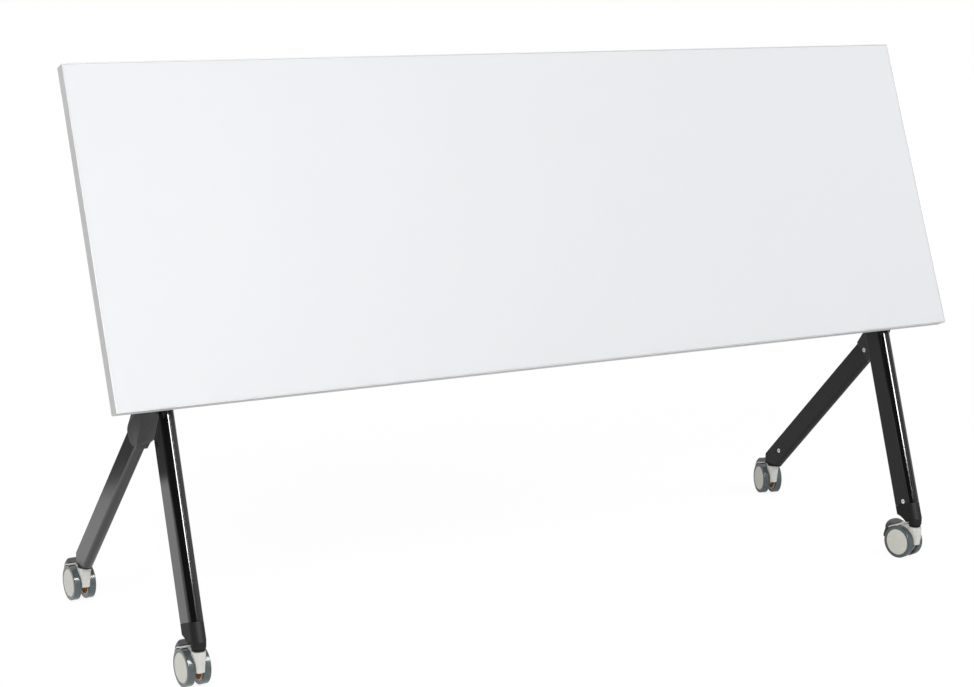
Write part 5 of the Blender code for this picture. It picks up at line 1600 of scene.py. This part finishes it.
    def tyre(self) -> Object:
        """A tyre with square shoulders, just rounded."""
        inner, half, turn = self.wheel - self.tread, self.wheel_width / 2, 0.0014
        out = self.wheel - turn
        profile = [(inner, half), *arc((out, half - turn), turn, 90, 0, 6)]
        profile += arc((out, turn - half), turn, 0, -90, 6)
        return Bench.smooth(Bench.lathe("tyre", [*profile, (inner, -half), (inner, half)], 96))

    def axle_bar(self) -> Object:
        """The axle, turned along Y."""
        reach = self.spread + self.wheel_width / 2 - 0.003 - SEAT_GAP
        ends = [(0.0035, -reach), (0.004, 0.0005 - reach), (0.004, reach - 0.0005), (0.0035, reach)]
        bar = Bench.lathe("axle", [(0, -reach), *ends, (0, reach)], 36)
        Bench.smooth(bar)
        return Bench.settle(bar, Matrix.Rotation(math.pi / 2, 4, "X"))

    def pedal(self) -> Object:
        """The brake pedal: a domed shell with a raised lobe, a web and a snap-on hub."""
        inner = self.wheel + self.hood_gap + self.hood_thickness + self.pedal_gap
        outer = inner + self.pedal_shell
        points = arc(self.centre, inner, self.pedal_tip, self.pedal_front, 36)
        span, steps = self.pedal_front - self.pedal_tip, 36
        for step in range(steps):
            share = step / steps
            lobe = share < self.pedal_lobe
            swell = self.pedal_crest * math.sin(math.pi * share / self.pedal_lobe) ** 2 if lobe else 0
            thin = self.pedal_shell / 2 * (max(0, 2 * share - 1) + max(0, 1 - 4 * share))
            points.append(polar(self.centre, outer + swell - thin, self.pedal_front - span * share))
        half = self.pedal_width / 2
        pedal = Bench.plate("pedal", points, -half, half, Plane.CASTOR)
        base, rise = inner + 0.0012, outer + self.pedal_crest - inner - 0.0012
        crown = self.pedal_crown
        profile = [(0, -half)]
        for step in range(41):
            share = step / 20 - 1
            bulge = (1 - abs(share) ** crown) ** (1 / crown)
            profile.append((base + rise * bulge, half * share))
        barrel = Bench.lathe("barrel", [*profile, (0, half)], 128)
        Bench.settle(barrel, self.hub @ Matrix.Rotation(math.pi / 2, 4, "X"))
        Bench.combine(pedal, "INTERSECT", [barrel])
        pivot = self.pedal_pivot
        web = arc(pivot, 0.0042, 127, 307, 20) + arc(self.centre, inner + 0.001, 12, 43, 20)
        Bench.fuse(pedal, Bench.plate("web", web, -0.002, 0.002, Plane.CASTOR))
        mouth = [(pivot[0] + x, pivot[1] + y) for x, y in turned(
            [(-0.0092, -0.0015), (0, -0.0015), (0, 0.0015), (-0.0092, 0.0015)], self.pivot_angle)]
        bore = arc(pivot, 0.002, 0, 340, 17)
        Bench.carve(pedal, Bench.plate("bore", bore, -0.004, 0.004, Plane.CASTOR),
                    Bench.plate("mouth", mouth, -0.004, 0.004, Plane.CASTOR))
        return Bench.soften(pedal, 0.0003, 1, 50)

    def wheels(self, corner: str, place: Matrix, core: Object, tyre: Object) -> None:
        """Both wheels of a castor.

        Args:
            corner: the castor's corner.
            place: its space.
            core: the core that is copied.
            tyre: the tyre that is copied.
        """
        for letter, side in (("a", 1), ("b", -1)):
            middle = Matrix.Translation((self.trail, side * self.spread, self.wheel))
            turn = place @ middle @ Matrix.Rotation(-side * math.pi / 2, 4, "X")
            wheel = f"{corner}_{letter}"
            made = Bench.settle(Bench.copy(core, "core"), turn)
            self.fit(made, f"wheel_core_{wheel}_capped", f"wheel_{wheel}", "cap",
                     [self.palette.cap, self.palette.hub], f"wheel_core_{wheel}")
            made = Bench.settle(Bench.copy(tyre, "tyre"), turn)
            self.fit(made, f"tyre_{wheel}_square", f"wheel_{wheel}", "tyre", [self.palette.tyre],
                     f"tyre_{wheel}")

    def build(self) -> None:
        """Model each piece once and fit it on all four corners."""
        core, tyre, still, colours = self.core(), self.tyre(), Matrix.Identity(4), self.palette
        masters = (
            # The stem's second finish is the painted shade on its collar
            (self.stem(), still, "castor_stem_{}_turned", "frame", "steel", [colours.turned, colours.collar]),
            (self.housing(), still, "castor_housing_{}_moulded", "castor_{}", "cream", [colours.cream]),
            (self.axle_bar(), self.hub, "castor_axle_{}_turned", "castor_{}", "steel", [colours.turned]),
            (self.pedal(), still, "brake_pedal_{}_domed", "pedal_{}", "pedal", [colours.pedal]),
        )
        for corner, x, y, heading in self.headings:
            place = space((x, y, 0), 0, math.radians(heading))
            for master, own, name, body, slot, finishes in masters:
                made = Bench.settle(Bench.copy(master, "part"), place @ own)
                node = name.rsplit("_", 1)[0].format(corner)
                self.fit(made, name.format(corner), body.format(corner), slot, finishes, node)
            self.wheels(corner, place, core, tyre)
        Bench.drop(core, tyre, *(row[0] for row in masters))


# The studio


@dataclass(frozen=True)
class Lamp:
    """A soft rectangular lamp, which either lights the table or is only mirrored in its gloss."""

    name: str
    place: Point
    aim: Point
    size: Flat
    power: float
    mirrored: bool = False


@dataclass
class Studio:
    """The pale floor, the white surroundings and the lamps."""

    floor: float = 9.0
    floor_colour: float = 0.9
    glow: float = 0.85
    glow_strength: float = 1.08
    glow_edge: Flat = (2.5, 6.0)
    far_edge: Flat = (0.88, 0.96)
    right_edge: Flat = (-0.8, -0.6)
    right_gloss: float = 0.45
    far_gloss: float = 0.15
    ambient: float = 0.45
    room: float = 0.03
    room_aim: Point = (-0.866, -0.5, 0.0)
    room_edge: Flat = (0.36, 0.5)
    lamps: tuple[Lamp, ...] = (
        Lamp("key_lamp", (-3.2, -3.4, 3.6), (0, 0, 0.6), (2.6, 2.6), 109.0),
        Lamp("fill_lamp", (3.4, -2.6, 2.8), (0, 0, 0.5), (2.4, 2.4), 55.0),
        Lamp("strip_lamp", (-0.25, -3.25, 2.2), (-0.1, -0.1, 0.45), (1.0, 1.5), 230.0, True),
        Lamp("tread_lamp", (0.55, -2.7, 2.75), (-0.79, -0.27, 0.03), (0.9, 1.3), 70.0, True),
    )

    def world(self) -> None:
        """White for the camera and, but for the dark room behind it, for gloss; a soft light for the rest."""
        graph = Graph("white_surroundings", "worlds", "ShaderNodeOutputWorld")
        direct, mirrored = graph.seen()
        aim = graph.node("ShaderNodeTexCoord", {}, {}).outputs["Generated"]
        towards = graph.node("ShaderNodeVectorMath", {"operation": "DOT_PRODUCT"}, {0: aim, 1: self.room_aim})
        dark = Signal(graph, towards.outputs["Value"]).step(*self.room_edge)
        strength = direct.maths("MAXIMUM", mirrored * (1 - dark * (1 - self.room)))
        strength = strength.maths("MAXIMUM", (1 - mirrored) * self.ambient)
        values = {"Color": (1.0, 1.0, 1.0, 1.0), "Strength": strength}
        bpy.context.scene.world = graph.finish(graph.node("ShaderNodeBackground", {}, values))

    def ground(self) -> None:
        """A plain pale floor that keeps the table's soft shadow. In gloss alone it has darker parts."""
        Bench.clear()
        bpy.ops.mesh.primitive_plane_add(size=self.floor * 2)
        floor = bpy.context.object
        floor.name = "studio_floor"
        graph = Graph("pale_floor")
        colour = (self.floor_colour,) * 3 + (1.0,)
        diffuse = graph.node("ShaderNodeBsdfDiffuse", {}, {"Color": colour})
        direct, mirrored = graph.seen()
        right = graph.axis("X").step(*self.right_edge)
        far = graph.axis("Y").step(*self.far_edge) * (1 - self.far_gloss) * (1 - right)
        far = mirrored * (far + right * (1 - self.right_gloss))
        glow = graph.node("ShaderNodeEmission", {}, {"Strength": (1 - far) * self.glow_strength})
        place = graph.node("ShaderNodeVectorMath", {"operation": "LENGTH"}, {0: graph.place()})
        distant = Signal(graph, place.outputs["Value"]).step(*self.glow_edge)
        near = direct * (self.glow + distant * (1 - self.glow))
        values = {0: near.maths("MAXIMUM", mirrored), 1: diffuse.outputs[0], 2: glow.outputs[0]}
        floor.data.materials.append(graph.finish(graph.node("ShaderNodeMixShader", {}, values)))

    def light(self, lamp: Lamp) -> None:
        """Hang a lamp and aim it."""
        data = bpy.data.lights.new(lamp.name, "AREA")
        data.shape = "RECTANGLE"
        data.size, data.size_y = lamp.size
        data.energy = lamp.power
        made = bpy.data.objects.new(lamp.name, data)
        bpy.context.scene.collection.objects.link(made)
        made.location = lamp.place
        aim = Vector(lamp.aim) - Vector(lamp.place)
        made.rotation_euler = aim.to_track_quat("-Z", "Y").to_euler()
        made.visible_diffuse = not lamp.mirrored
        made.visible_glossy = lamp.mirrored

    def build(self) -> None:
        """Set the studio up."""
        self.world()
        self.ground()
        for lamp in self.lamps:
            self.light(lamp)
        bpy.context.scene.view_settings.view_transform = "Standard"


@dataclass
class Viewpoint:
    """The photograph's camera."""

    place: Point = (-2.073, -3.366, 1.3413)
    yaw: float = 0.5348
    pitch: float = 0.2175
    roll: float = 0.0248
    focal: float = 2095.2
    frame_width: float = 974.0
    sensor: float = 36.0

    def build(self) -> None:
        """Create the camera and make it the scene's."""
        data = bpy.data.cameras.new("photo_camera")
        data.sensor_width = self.sensor
        data.lens = self.focal * self.sensor / self.frame_width
        camera = bpy.data.objects.new("photo_camera", data)
        bpy.context.scene.collection.objects.link(camera)
        level = math.cos(self.pitch)
        ahead = Vector((math.sin(self.yaw) * level, math.cos(self.yaw) * level, -math.sin(self.pitch)))
        right = Vector((math.cos(self.yaw), -math.sin(self.yaw), 0))
        up = right.cross(ahead)
        c, s = math.cos(self.roll), math.sin(self.roll)
        axes = Matrix((c * right + s * up, c * up - s * right, -ahead)).transposed()
        camera.matrix_world = Matrix.Translation(self.place) @ axes.to_4x4()
        bpy.context.scene.camera = camera


def main() -> None:
    """Build the table, the studio and the camera."""
    logging.basicConfig(level=logging.INFO, format="%(message)s")
    wardrobe = Wardrobe(Palette())
    for assembly in (Top, Heads, LegFrame, CrossBeam, Castor):
        LOG.info("building %s", assembly.__name__)
        assembly(wardrobe).build()
    Studio().build()
    Viewpoint().build()
    Bench.clear()


if __name__ == "__main__":
    main()
